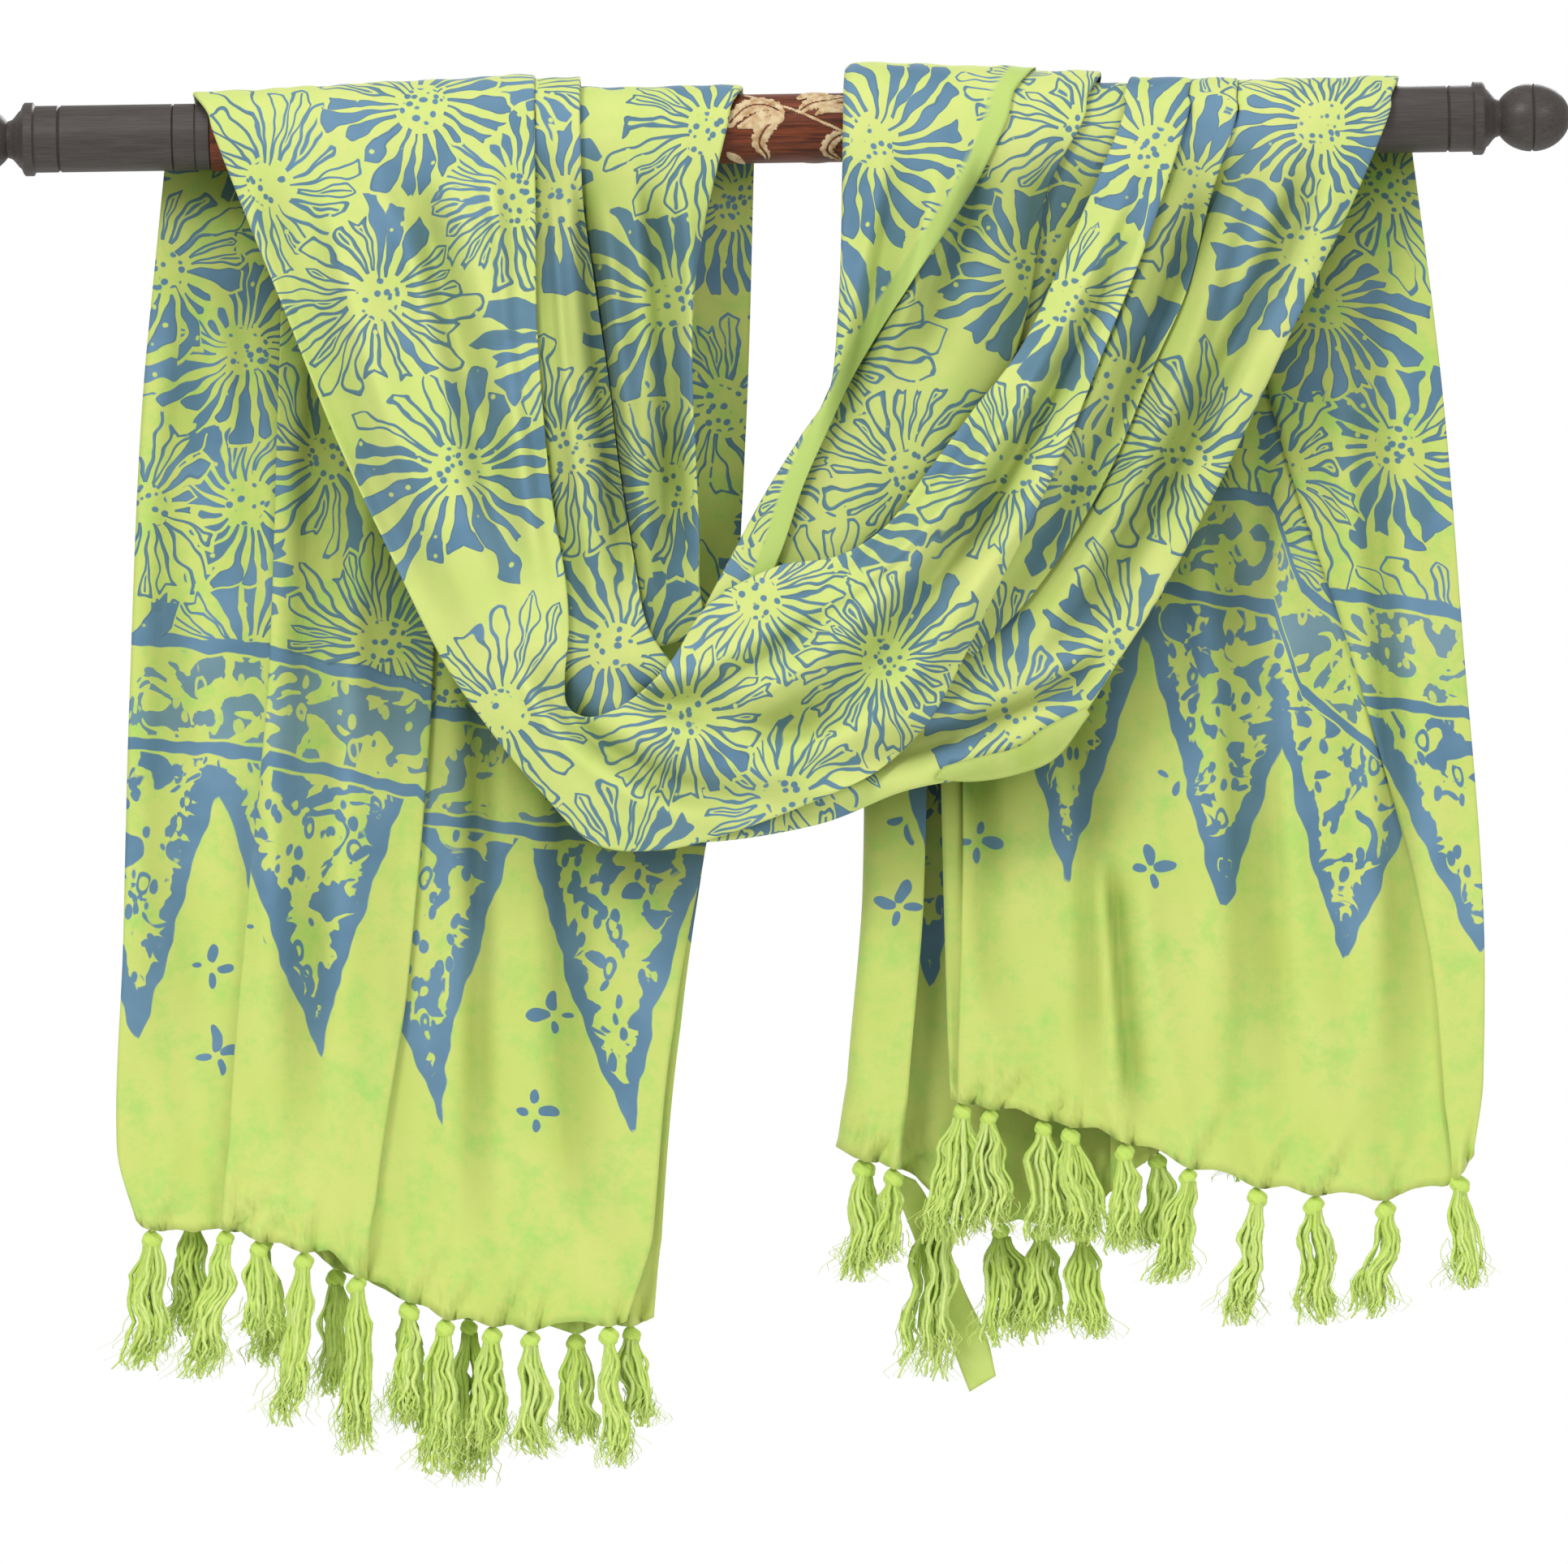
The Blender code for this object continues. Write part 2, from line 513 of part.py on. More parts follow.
# ---- rod --------------------------------------------------------------------------------------
def rod():
    length = (ROD_CORE_RIGHT - ROD_CORE_LEFT) * MM
    middle = (ROD_CORE_RIGHT + ROD_CORE_LEFT) / 2 * MM
    bm = bmesh.new()
    bmesh.ops.create_cone(bm, cap_ends=True, segments=ROD_SIDES, radius1=ROD_RADIUS, radius2=ROD_RADIUS,
                          depth=length / MM)
    core = add_object("rod_core", bm, ROSEWOOD)
    core.rotation_euler = (0.0, math.pi / 2, 0.0)
    core.location = (middle, 0.0, 0.0)
    core.data.set_sharp_from_angle(angle=math.radians(40))


def sleeve(name, end, direction):
    """A turned sleeve and ball finial; the profile is distance from the rod's core and radius."""
    r, length = SLEEVE_RADIUS, SLEEVE_LENGTH
    groove = length - GROOVE_FROM_END
    profile = [(0.0, 0.0), (0.0, r), (groove - GROOVE_HALF, r), (groove, r - GROOVE_DEEP),
               (groove + GROOVE_HALF, r), (length, r), (length, r + RING_PROUD),
               (length + RING_LENGTH, r + RING_PROUD), (length + RING_LENGTH + 2.0, r - COVE_DEEP),
               (length + NECK_FROM_SLEEVE, NECK_RADIUS)]
    ball_at = length + BALL_FROM_SLEEVE
    for degrees in (-70, -45, -20, 0, 20, 45, 70):
        a = math.radians(degrees)
        profile.append((ball_at + BALL_HALF * math.sin(a), BALL_RADIUS * math.cos(a)))
    profile.append((ball_at + BALL_HALF, 0.0))
    bm = bmesh.new()
    verts = [bm.verts.new((radius, 0.0, along)) for along, radius in profile[::-1]]
    for a, b in zip(verts, verts[1:]):
        bm.edges.new((a, b))
    obj = add_object(name, bm, EBONY_STAIN)
    turn = obj.modifiers.new("turned", "SCREW")
    turn.steps = SLEEVE_STEPS
    turn.render_steps = SLEEVE_STEPS
    turn.use_merge_vertices = True
    turn.merge_threshold = 0.00005
    turn.use_smooth_shade = True
    obj.rotation_euler = (0.0, direction * math.pi / 2, 0.0)
    obj.location = (end * MM, 0.0, 0.0)


# ---- fringe -----------------------------------------------------------------------------------
TASSELS_LEFT_FRONT = [
    Tassel(-289, -5, 63), Tassel(-256, -16, 68), Tassel(-241, 1, 44), Tassel(-221, -9, 78),
    Tassel(-198, -4, 80), Tassel(-175, -5, 56), Tassel(-159, -3, 70), Tassel(-138, -3, 56),
    Tassel(-121, 1, 58), Tassel(-86, 4, 64),
]
TASSELS_RIGHT_FRONT = [
    Tassel(73, -9, 64), Tassel(85, 3, 57), Tassel(109, 1, 56), Tassel(121, 9, 53),
    Tassel(145, -1, 50), Tassel(173, -16, 52), Tassel(204, -11, 62), Tassel(229, 0, 58),
    Tassel(261, -14, 53), Tassel(294, 6, 52),
]
TASSELS_RIGHT_EDGE = [Tassel(28, -2, 55), Tassel(42, -5, 43)]
TASSELS_LEFT_BACK = [
    Tassel(-272, -4, 56), Tassel(-240, 3, 60), Tassel(-208, -3, 58), Tassel(-176, 4, 60),
    Tassel(-149, -2, 76), Tassel(-101, -1, 50), Tassel(-76, 4, 46),
]
TASSELS_RIGHT_BACK = [
    Tassel(30, -2, 50), Tassel(61, -8, 84), Tassel(90, 3, 56), Tassel(108, -2, 50),
    Tassel(126, 3, 52), Tassel(160, -2, 44), Tassel(205, -3, 44), Tassel(256, -3, 44),
]
HEAD_SIDES = 5
HEAD_TOP = 1.8        # radius of the twisted cord at the hem
HEAD_WIDE = 4.2       # radius of the knot
HEAD_NECK = 3.4       # radius just under the knot
HEAD_HEIGHT = 8.0
FLATTEN = 0.65        # a tassel hangs flatter than it is wide
# The two reaches of a lock: its share of the drop, how far it spreads, and how it widens.
LOCK_REACHES = ((0.45, 2.3, 1.3), (0.55, 0.8, 0.45))


def tie_point(points, x, pick):
    """Where a tassel is tied: the depth and height under one layer of the hem at x."""
    found = []
    for a, b in zip(points, points[1:]):
        if min(a.x, b.x) <= x <= max(a.x, b.x) and abs(b.x - a.x) > 0.5:
            slope = (b.z - a.z) / (b.x - a.x)
            found.append((between(a.y, b.y, (x - a.x) / (b.x - a.x)),
                          a.z + slope * (x - a.x) - abs(slope) * HEAD_TOP))
    return pick(found)


def scaled_down(bm, faces, down, lean, spread, scale):
    """Carries the ends of the locks down, apart from each other and thinner or thicker."""
    for face in faces:
        middle = face.calc_center_median()
        away = Vector((middle.x, middle.y, 0.0)).normalized() * spread
        bmesh.ops.scale(bm, vec=(scale, scale, scale), verts=face.verts, space=Matrix.Translation(-middle))
        bmesh.ops.translate(bm, vec=Vector((lean, 0.0, -down)) + away, verts=face.verts)


def tassel(name, row, y, z):
    bm = bmesh.new()
    upper = HEAD_HEIGHT * 0.5
    bmesh.ops.create_cone(bm, cap_ends=True, segments=HEAD_SIDES, radius1=HEAD_WIDE, radius2=HEAD_TOP,
                          depth=upper)
    bmesh.ops.translate(bm, vec=(0.0, 0.0, -upper / 2), verts=bm.verts)
    bm.normal_update()
    bottom = min(bm.faces, key=lambda face: face.calc_center_median().z)
    neck = bmesh.ops.extrude_discrete_faces(bm, faces=[bottom])["faces"]
    scaled_down(bm, neck, HEAD_HEIGHT - upper, 0.0, 0.0, HEAD_NECK / HEAD_WIDE)
    locks = bmesh.ops.poke(bm, faces=neck)["faces"]
    drop = row.length - HEAD_HEIGHT
    for part, spread, scale in LOCK_REACHES:
        locks = bmesh.ops.extrude_discrete_faces(bm, faces=locks)["faces"]
        scaled_down(bm, locks, drop * part, row.lean * part, spread, scale)
    bmesh.ops.scale(bm, vec=(1.0, FLATTEN, 1.0), verts=bm.verts)
    obj = add_object(name, bm, YARN)
    obj.location = (row.x * MM, y * MM, (z - SEAM) * MM)


def fringe():
    hems = (
        ("tassel_left_front", TASSELS_LEFT_FRONT, TAIL_LEFT_FRONT, TAIL_LEFT_FRONT_STEPS,
         TAIL_LEFT_FRONT_HEM, min, 0.0),
        ("tassel_right_front", TASSELS_RIGHT_FRONT, TAIL_RIGHT_FRONT, TAIL_RIGHT_FRONT_STEPS,
         TAIL_RIGHT_FRONT_HEM, min, 0.0),
        ("tassel_right_edge", TASSELS_RIGHT_EDGE, TAIL_RIGHT_BACK, TAIL_RIGHT_BACK_STEPS,
         TAIL_RIGHT_BACK_HEM, min, BACK_FALL),
        ("tassel_left_back", TASSELS_LEFT_BACK, TAIL_LEFT_BACK, TAIL_LEFT_BACK_STEPS,
         TAIL_LEFT_BACK_HEM, max, BACK_FALL),
        ("tassel_right_back", TASSELS_RIGHT_BACK, TAIL_RIGHT_BACK, TAIL_RIGHT_BACK_STEPS,
         TAIL_RIGHT_BACK_HEM, max, BACK_FALL),
    )
    for name, rows, folds, steps, hem, pick, fall in hems:
        points = hem_points(folds, steps, hem, fall, TURN_STEPS)
        for n, row in enumerate(rows, start=1):
            y, z = tie_point(points, row.x, pick)
            tassel(f"{name}_{n:02d}", row, y, z)


def build():
    clear_scene()
    collection = bpy.data.collections.new("batik_sarong")
    bpy.context.scene.collection.children.link(collection)
    rod()
    sleeve("rod_sleeve_left", ROD_CORE_LEFT - SEAM, -1)
    sleeve("rod_sleeve_right", ROD_CORE_RIGHT + SEAM, 1)
    swag()
    tails()
    fringe()


build()
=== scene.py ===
"""Batik sarong over a turned wooden rod: its looks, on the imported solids.

Every stretch of the cloth is a thin shell on the form of its solid: the same short tables of rows
and folds, at a finer step, with the soft creases of thin rayon added. The two ends of the cloth
carry knotted tassels of cotton yarn. Tables are in millimetres; MM turns them into metres.
"""

import math
from collections import namedtuple
from functools import partial

import bmesh
import bpy
import numpy as np
from mathutils import Matrix, Vector


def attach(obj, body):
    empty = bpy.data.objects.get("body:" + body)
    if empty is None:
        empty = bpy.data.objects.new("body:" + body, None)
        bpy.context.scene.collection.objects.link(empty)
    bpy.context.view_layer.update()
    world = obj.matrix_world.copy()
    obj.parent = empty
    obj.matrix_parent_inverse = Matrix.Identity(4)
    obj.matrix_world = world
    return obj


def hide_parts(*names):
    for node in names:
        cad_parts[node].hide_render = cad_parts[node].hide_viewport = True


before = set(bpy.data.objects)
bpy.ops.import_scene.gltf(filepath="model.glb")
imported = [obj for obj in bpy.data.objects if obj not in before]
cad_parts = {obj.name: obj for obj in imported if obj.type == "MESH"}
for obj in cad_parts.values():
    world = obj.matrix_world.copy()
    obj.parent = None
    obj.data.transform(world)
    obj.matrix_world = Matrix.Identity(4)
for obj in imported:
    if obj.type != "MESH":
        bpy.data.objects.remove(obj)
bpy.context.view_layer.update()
MM = 0.001

# ---- driving dimensions, mm -------------------------------------------------------------------
SEAM = 0.3            # gap where two stretches of the cloth meet
ROD_RADIUS = 15.7
ROD_CORE_LEFT = -254.0
ROD_CORE_RIGHT = 227.0
SLEEVE_RADIUS = 14.8
SLEEVE_LENGTH = 78.0
GROOVE_FROM_END = 11.0
GROOVE_HALF = 0.5
GROOVE_DEEP = 0.8
RING_PROUD = 1.5
RING_LENGTH = 5.0
COVE_DEEP = 2.5
NECK_RADIUS = 8.8
NECK_FROM_SLEEVE = 10.0
BALL_FROM_SLEEVE = 26.5
BALL_HALF = 17.0      # the ball finial is a little longer than it is wide
BALL_RADIUS = 15.1
TAIL_TOP = -1.0       # the tails start level with the rod's axis, behind it
LAYER_SPREAD = 0.55   # how much further apart a tail's layers stand at the hem than at the rod
FRONT_LAYER = 17.0    # depth of the foremost tail layer, which hangs plumb
SWAY = 3.2            # depth of the soft waves at the hem
BACK_FALL = 10.0      # how far the rear layers have drifted back at the hem
WAVE_SHORT = 15.0     # the two lengths of the soft waves across a tail
WAVE_LONG = 31.0
TROUGH_AT = 0.62      # where the soft trough runs, as a share of a band's width
TROUGH_WIDE = 0.12

# ---- tables -----------------------------------------------------------------------------------
# A station across a hanging band: its outer and inner edge seen from the front, the depth of each
# edge, how far the middle stands proud (crown), and the depth of the soft trough along it.
Row = namedtuple("Row", "x_out z_out x_in z_in y_out y_in crown trough")
# Where a band crosses the rod: edges, height of each edge over the rod's top, depth at the back.
Over = namedtuple("Over", "x_out x_in h_out h_in back_out back_in")
# A rolled edge: its radius, the angle it turns through, and the flat run behind it.
Curl = namedtuple("Curl", "radius turn run")
# A fold line of a tail: x at the FRACTIONS of its drop, and its depth before and after the fold.
Fold = namedtuple("Fold", "x_top x_quarter x_half x_three_quarters x_low x_hem y_before y_after")
FRACTIONS = (0.0, 0.25, 0.5, 0.75, 0.93, 1.0)
# A tassel: where it is tied on, how far its tip leans, its length.
Tassel = namedtuple("Tassel", "x lean length")

ROLL_ON_ROD = Curl(1.35, 180.0, 0.6)
STEP_ON_ROD = Curl(1.2, 90.0, 1.2)
ROLL_HANGING = Curl(1.7, 180.0, 9.0)
ROLL_INSIDE = Curl(1.7, 180.0, 2.5)
TURN_HANGING = Curl(1.3, 110.0, 0.8)
FAT_ON_ROD = Curl(5.5, 180.0, 22.0)
FAT_HANGING = Curl(1.6, 170.0, 2.0)

FRONT_BAND = [
    Row(-252, 0, -110, 0, -19.3, -26.4, 1.0, 0.0),
    Row(-240, -32, -110, -35, -20.6, -29.2, 3.0, 0.5),
    Row(-222, -78, -110, -86, -22.8, -31.5, 5.0, 1.5),
    Row(-200, -135, -107, -138, -25.2, -33.6, 6.0, 2.0),
    Row(-176, -188, -104, -168, -27.5, -34.5, 6.0, 2.0),
    Row(-154, -234, -99, -200, -29.5, -36.0, 6.0, 1.5),
    Row(-133, -266, -98, -224, -31.0, -37.2, 6.0, 1.0),
    Row(-112, -292, -100, -242, -32.0, -38.2, 5.5, 0.5),
    Row(-88, -316, -99, -255, -33.0, -39.2, 5.0, 0.0),
    Row(-58, -319, -89, -260, -33.5, -40.0, 5.0, 0.0),
    Row(-28, -312, -73, -254, -34.0, -40.5, 6.0, 0.5),
    Row(8, -299, -54, -237, -34.5, -41.0, 7.0, 2.0),
    Row(38, -285, -36, -211, -34.5, -41.0, 8.0, 2.5),
    Row(60, -264, -6, -195, -34.0, -40.5, 8.0, 2.5),
    Row(76, -236, 20, -191, -33.5, -39.5, 7.0, 2.0),
    Row(91, -206, 42, -178, -33.0, -38.0, 6.0, 1.5),
    Row(105, -179, 61, -154, -32.0, -36.5, 5.0, 1.0),
    Row(122, -144, 80, -129, -31.0, -34.0, 4.0, 1.0),
    Row(141, -98, 104, -98, -29.6, -31.4, 3.0, 1.0),
    Row(160, -52, 126, -52, -28.0, -28.6, 2.0, 0.5),
    Row(178, 0, 149, 0, -24.4, -23.8, 1.0, 0.0),
]
FRONT_BAND_LEFT = Over(-262, -110, 3.5, 9.6, 22.7, 29.2)
FRONT_BAND_RIGHT = Over(181, 154, 3.4, 4.6, 20.9, 20.9)

LEFT_PLEAT = [
    Row(-110.2, 0, -90, 0, -23.4, -23.4, 0.3, 0.0),
    Row(-118, -35, -89, -35, -24.4, -24.4, 0.8, 0.0),
    Row(-120, -70, -84.5, -70, -25.3, -25.3, 1.0, 0.0),
    Row(-120, -110, -79, -112, -26.6, -26.4, 1.0, 0.0),
    Row(-116, -150, -75, -150, -28.0, -27.8, 1.0, 0.0),
    Row(-112, -185, -69, -190, -29.4, -29.4, 1.0, 0.0),
    Row(-112, -215, -64, -218, -30.8, -31.0, 1.0, 0.0),
    Row(-108, -242, -55, -234, -32.0, -32.6, 1.0, 0.0),
    Row(-94, -268, -43, -246, -32.8, -33.8, 1.0, 0.0),
]
LEFT_PLEAT_OVER = Over(-110.2, -90, 7.9, 7.9, 26.0, 26.0)

LEFT_INNER = [
    Row(-94, 0, -25, 0, -19.0, -19.0, 0.3, 0.0),
    Row(-96, -35, -34, -36, -19.6, -19.8, 1.0, 0.5),
    Row(-94, -70, -40, -68, -20.2, -20.8, 1.5, 1.0),
    Row(-90, -105, -42, -105, -21.0, -22.0, 2.0, 1.0),
    Row(-85, -142, -41, -142, -21.8, -23.5, 2.0, 1.0),
    Row(-80, -180, -40, -178, -23.2, -25.0, 2.0, 1.0),
    Row(-74, -210, -40, -204, -24.2, -26.2, 1.5, 0.0),
    Row(-68, -232, -36, -224, -25.2, -27.5, 1.0, 0.0),
]
LEFT_INNER_OVER = Over(-97, -18, 3.3, 3.3, 22.4, 22.4)

RIGHT_PANEL = [
    Row(26, 0, 98, 0, -28.4, -26.2, 0.5, 0.0),
    Row(25, -30, 84, -28, -29.2, -27.6, 1.5, 0.5),
    Row(24, -60, 64, -58, -30.0, -28.6, 2.0, 0.5),
    Row(22, -90, 43, -88, -30.8, -30.0, 1.5, 0.0),
    Row(18, -118, 28, -113, -31.5, -31.0, 0.5, 0.0),
    Row(5, -138, 17, -136, -32.2, -32.0, 0.5, 0.0),
    Row(-11, -163, 6, -160, -33.0, -33.0, 1.0, 0.0),
    Row(-26, -190, -3, -186, -34.0, -34.0, 1.0, 0.0),
    Row(-38, -212, -12, -206, -35.0, -35.0, 1.0, 0.0),
]
RIGHT_PANEL_OVER = Over(27, 112, 12.9, 9.3, 31.1, 27.7)

RIGHT_FOLD = [
    Row(132, 0, 90, 0, -23.6, -24.2, 0.3, 0.0),
    Row(117, -28, 76, -26, -24.2, -24.8, 1.0, 0.0),
    Row(111, -60, 56, -56, -24.8, -25.4, 1.2, 0.0),
    Row(104, -93, 37, -87, -25.6, -26.0, 1.2, 0.0),
    Row(92, -125, 20, -114, -26.4, -26.4, 1.2, 0.0),
    Row(72, -156, 6, -144, -27.6, -27.6, 1.2, 0.0),
    Row(50, -186, -8, -176, -29.0, -29.0, 1.2, 0.0),
    Row(32, -212, -14, -202, -30.0, -30.0, 1.0, 0.0),
]
RIGHT_FOLD_OVER = Over(141, 104, 7.2, 7.8, 24.3, 24.3)

RIGHT_RECESS = [
    Row(152, 0, 126, 0, -18.6, -19.2, 0.2, 0.0),
    Row(148, -30, 108, -30, -19.8, -19.8, 0.3, 0.0),
    Row(134, -62, 98, -62, -20.6, -20.6, 0.3, 0.0),
    Row(120, -95, 86, -95, -21.4, -21.4, 0.3, 0.0),
    Row(106, -120, 76, -120, -22.2, -22.2, 0.3, 0.0),
]
RIGHT_RECESS_OVER = Over(157, 136, 1.4, 2.2, 20.9, 20.9)

RIGHT_STEP = [
    Row(199.6, 0, 178.2, 0, -20.6, -20.8, 0.2, 0.0),
    Row(188, -35, 160, -35, -23.0, -22.8, 0.6, 0.0),
    Row(177, -75, 145, -72, -24.2, -24.0, 0.8, 0.0),
    Row(162, -108, 130, -105, -25.2, -25.0, 1.0, 0.0),
    Row(144, -150, 112, -140, -26.0, -25.8, 1.0, 0.0),
    Row(126, -182, 96, -170, -26.8, -26.6, 1.0, 0.0),
    Row(104, -212, 76, -198, -27.4, -27.2, 1.0, 0.0),
    Row(80, -236, 56, -222, -27.8, -27.6, 1.0, 0.0),
]
RIGHT_STEP_OVER = Over(201.7, 181, 3.2, 3.2, 20.9, 20.9)

OUTER_BAND = [
    Row(267, 0, 200, 0, -19.0, -18.1, 0.2, 0.0),
    Row(252, -35, 184, -28, -19.4, -18.6, 0.8, 0.3),
    Row(236, -67, 168, -62, -20.0, -19.8, 1.2, 0.8),
    Row(219, -102, 152, -98, -20.6, -20.4, 1.5, 1.0),
    Row(200, -141, 136, -130, -21.2, -21.0, 1.5, 1.0),
    Row(182, -176, 118, -158, -21.8, -21.6, 1.5, 1.0),
    Row(163, -210, 100, -182, -22.4, -22.4, 1.5, 1.0),
    Row(146, -236, 84, -200, -23.0, -22.8, 1.2, 0.5),
    Row(127, -264, 66, -212, -23.4, -23.0, 1.0, 0.0),
    Row(108, -283, 46, -220, -23.6, -23.2, 1.0, 0.0),
    Row(80, -289, 20, -225, -23.8, -23.4, 1.0, 0.0),
    Row(48, -295, -6, -232, -24.0, -23.6, 1.0, 0.0),
    Row(10, -309, -30, -240, -24.2, -23.8, 1.0, 0.0),
    Row(-42, -316, -58, -250, -24.4, -24.0, 1.0, 0.0),
    Row(-80, -309, -86, -262, -24.6, -24.2, 1.0, 0.0),
]
OUTER_BAND_OVER = Over(273, 201.8, 3.3, 2.4, 20.9, 20.9)

SELVEDGE_TURN = [
    Row(62, -290, 66, -284, -27.2, -26.0, 0.5, 0.0),
    Row(80, -291, 82, -280, -27.6, -26.0, 1.0, 0.0),
    Row(99, -288, 99, -276, -27.8, -26.0, 1.2, 0.0),
    Row(116, -281, 112, -267, -27.4, -26.0, 1.2, 0.0),
    Row(131, -262, 129, -259, -26.8, -26.0, 0.3, 0.0),
]

# The torn corner of the right end, a plain strip that hangs below its hem.
CORNER_STRIP = [
    Row(41, -464.4, 52, -469.4, 46.8, 46.8, 0.0, 0.0),
    Row(45, -479, 57, -477, 50.6, 51.0, 0.0, 0.0),
    Row(52, -498, 64, -493, 53.0, 53.4, 0.3, 0.0),
    Row(60, -524, 73, -518, 54.6, 54.6, 0.5, 0.0),
    Row(68, -546, 83, -540, 55.4, 55.4, 0.5, 0.0),
    Row(72, -557, 86, -553, 55.8, 55.8, 0.3, 0.0),
    Row(75, -565, 87, -558, 56.0, 56.0, 0.0, 0.0),
]

TAIL_LEFT_FRONT = [
    Fold(-275, -288, -295, -300, -304, -296, 20.1, 20.1),
    Fold(-190, -194, -200, -212, -224, -228, 20.1, 18.4),
    Fold(-222, -227, -233, -246, -254, -258, 18.4, 16.7),
    Fold(-152, -156, -161, -174, -189, -194, 16.7, 18.4),
    Fold(-182, -186, -192, -206, -218, -222, 18.4, 20.1),
    Fold(-13, -19, -30, -55, -66, -78, 20.1, 20.1),
]
TAIL_LEFT_FRONT_HEM = [(-304, -472), (-295, -484), (-270, -490), (-258, -485), (-231, -494),
                       (-209, -498), (-194, -510), (-157, -528), (-120, -533), (-78, -531)]

TAIL_LEFT_BACK = [
    Fold(-262, -272, -280, -287, -290, -288, 22.2, 22.2),
    Fold(-110, -114, -118, -126, -132, -134, 28.7, 27.0),
    Fold(-128, -132, -137, -146, -152, -154, 27.0, 25.3),
    Fold(-90, -94, -98, -106, -112, -114, 25.3, 23.6),
    Fold(-106, -110, -115, -124, -130, -132, 23.6, 21.9),
    Fold(-16, -22, -32, -52, -62, -66, 21.9, 21.9),
]
TAIL_LEFT_BACK_HEM = [(-290, -474), (-250, -484), (-215, -500), (-190, -516), (-134, -533), (-100, -535),
                      (-60, -530)]

TAIL_RIGHT_FRONT = [
    Fold(65, 65, 65, 66, 67, 68, 22.0, 22.0),
    Fold(106, 106, 106, 106, 105, 105, 22.0, 20.3),
    Fold(76, 76, 76, 75, 72, 71, 20.3, 18.6),
    Fold(278, 291, 299, 306, 305, 300, 18.6, 16.9),
    Fold(205, 214, 249, 279, 288, 291, 16.9, 16.9),
]
TAIL_RIGHT_FRONT_HEM = [(64, -432), (76, -435), (108, -442), (138, -450), (177, -466), (208, -475),
                        (256, -481), (288, -476), (300, -462)]

TAIL_RIGHT_BACK = [
    Fold(62, 62, 61, 57, 49, 45, 17.4, 17.4),
    Fold(27, 29, 32, 30, 22, 17, 17.4, 30.6),
    Fold(112, 114, 117, 120, 122, 122, 27.2, 25.5),
    Fold(98, 100, 103, 106, 108, 108, 25.5, 23.8),
    Fold(141, 144, 148, 152, 154, 154, 23.8, 22.1),
    Fold(126, 129, 133, 137, 139, 139, 22.1, 20.4),
    Fold(273, 283, 290, 296, 296, 294, 20.4, 20.4),
]
TAIL_RIGHT_BACK_HEM = [(17, -456), (45, -464), (60, -475), (88, -489), (126, -490), (139, -478),
                       (170, -448), (201, -434), (300, -434)]

TASSELS_LEFT_FRONT = [
    Tassel(-289, -5, 63), Tassel(-256, -16, 68), Tassel(-241, 1, 44), Tassel(-221, -9, 78),
    Tassel(-198, -4, 80), Tassel(-175, -5, 56), Tassel(-159, -3, 70), Tassel(-138, -3, 56),
    Tassel(-121, 1, 58), Tassel(-86, 4, 64),
]
TASSELS_RIGHT_FRONT = [
    Tassel(73, -9, 64), Tassel(85, 3, 57), Tassel(109, 1, 56), Tassel(121, 9, 53),
    Tassel(145, -1, 50), Tassel(173, -16, 52), Tassel(204, -11, 62), Tassel(229, 0, 58),
    Tassel(261, -14, 53), Tassel(294, 6, 52),
]
TASSELS_RIGHT_EDGE = [Tassel(28, -2, 55), Tassel(42, -5, 43)]
TASSELS_LEFT_BACK = [
    Tassel(-272, -4, 56), Tassel(-240, 3, 60), Tassel(-208, -3, 58), Tassel(-176, 4, 60),
    Tassel(-149, -2, 76), Tassel(-101, -1, 50), Tassel(-76, 4, 46),
]
TASSELS_RIGHT_BACK = [
    Tassel(30, -2, 50), Tassel(61, -8, 84), Tassel(90, 3, 56), Tassel(108, -2, 50),
    Tassel(126, 3, 52), Tassel(160, -2, 44), Tassel(205, -3, 38), Tassel(256, -3, 44),
]

# A tail: its folds, its hem, how far its layers drift back at the hem, and what is tied to it.
Tail = namedtuple("Tail", "folds hem fall ties")
TAILS = {
    "tail_left_front": Tail(TAIL_LEFT_FRONT, TAIL_LEFT_FRONT_HEM, 0.0, TASSELS_LEFT_FRONT),
    "tail_left_back": Tail(TAIL_LEFT_BACK, TAIL_LEFT_BACK_HEM, BACK_FALL, TASSELS_LEFT_BACK),
    "tail_right_front": Tail(TAIL_RIGHT_FRONT, TAIL_RIGHT_FRONT_HEM, 0.0, TASSELS_RIGHT_FRONT),
    "tail_right_back": Tail(TAIL_RIGHT_BACK, TAIL_RIGHT_BACK_HEM, BACK_FALL,
                            TASSELS_RIGHT_EDGE + TASSELS_RIGHT_BACK),
}
# Each row of tassels, the tail that it hangs from, and which of its layers: the front or the back one.
FRINGES = (
    ("tassel_left_front", TASSELS_LEFT_FRONT, "tail_left_front", min),
    ("tassel_right_front", TASSELS_RIGHT_FRONT, "tail_right_front", min),
    ("tassel_right_edge", TASSELS_RIGHT_EDGE, "tail_right_back", min),
    ("tassel_left_back", TASSELS_LEFT_BACK, "tail_left_back", max),
    ("tassel_right_back", TASSELS_RIGHT_BACK, "tail_right_back", max),
)

# ---- small helpers ----------------------------------------------------------------------------
def between(a, b, t):
    """The value a share t of the way from a to b."""
    return a + (b - a) * t


def smooth(t):
    """A soft step from 0 to 1."""
    t = np.clip(t, 0.0, 1.0)
    return t * t * (3 - 2 * t)


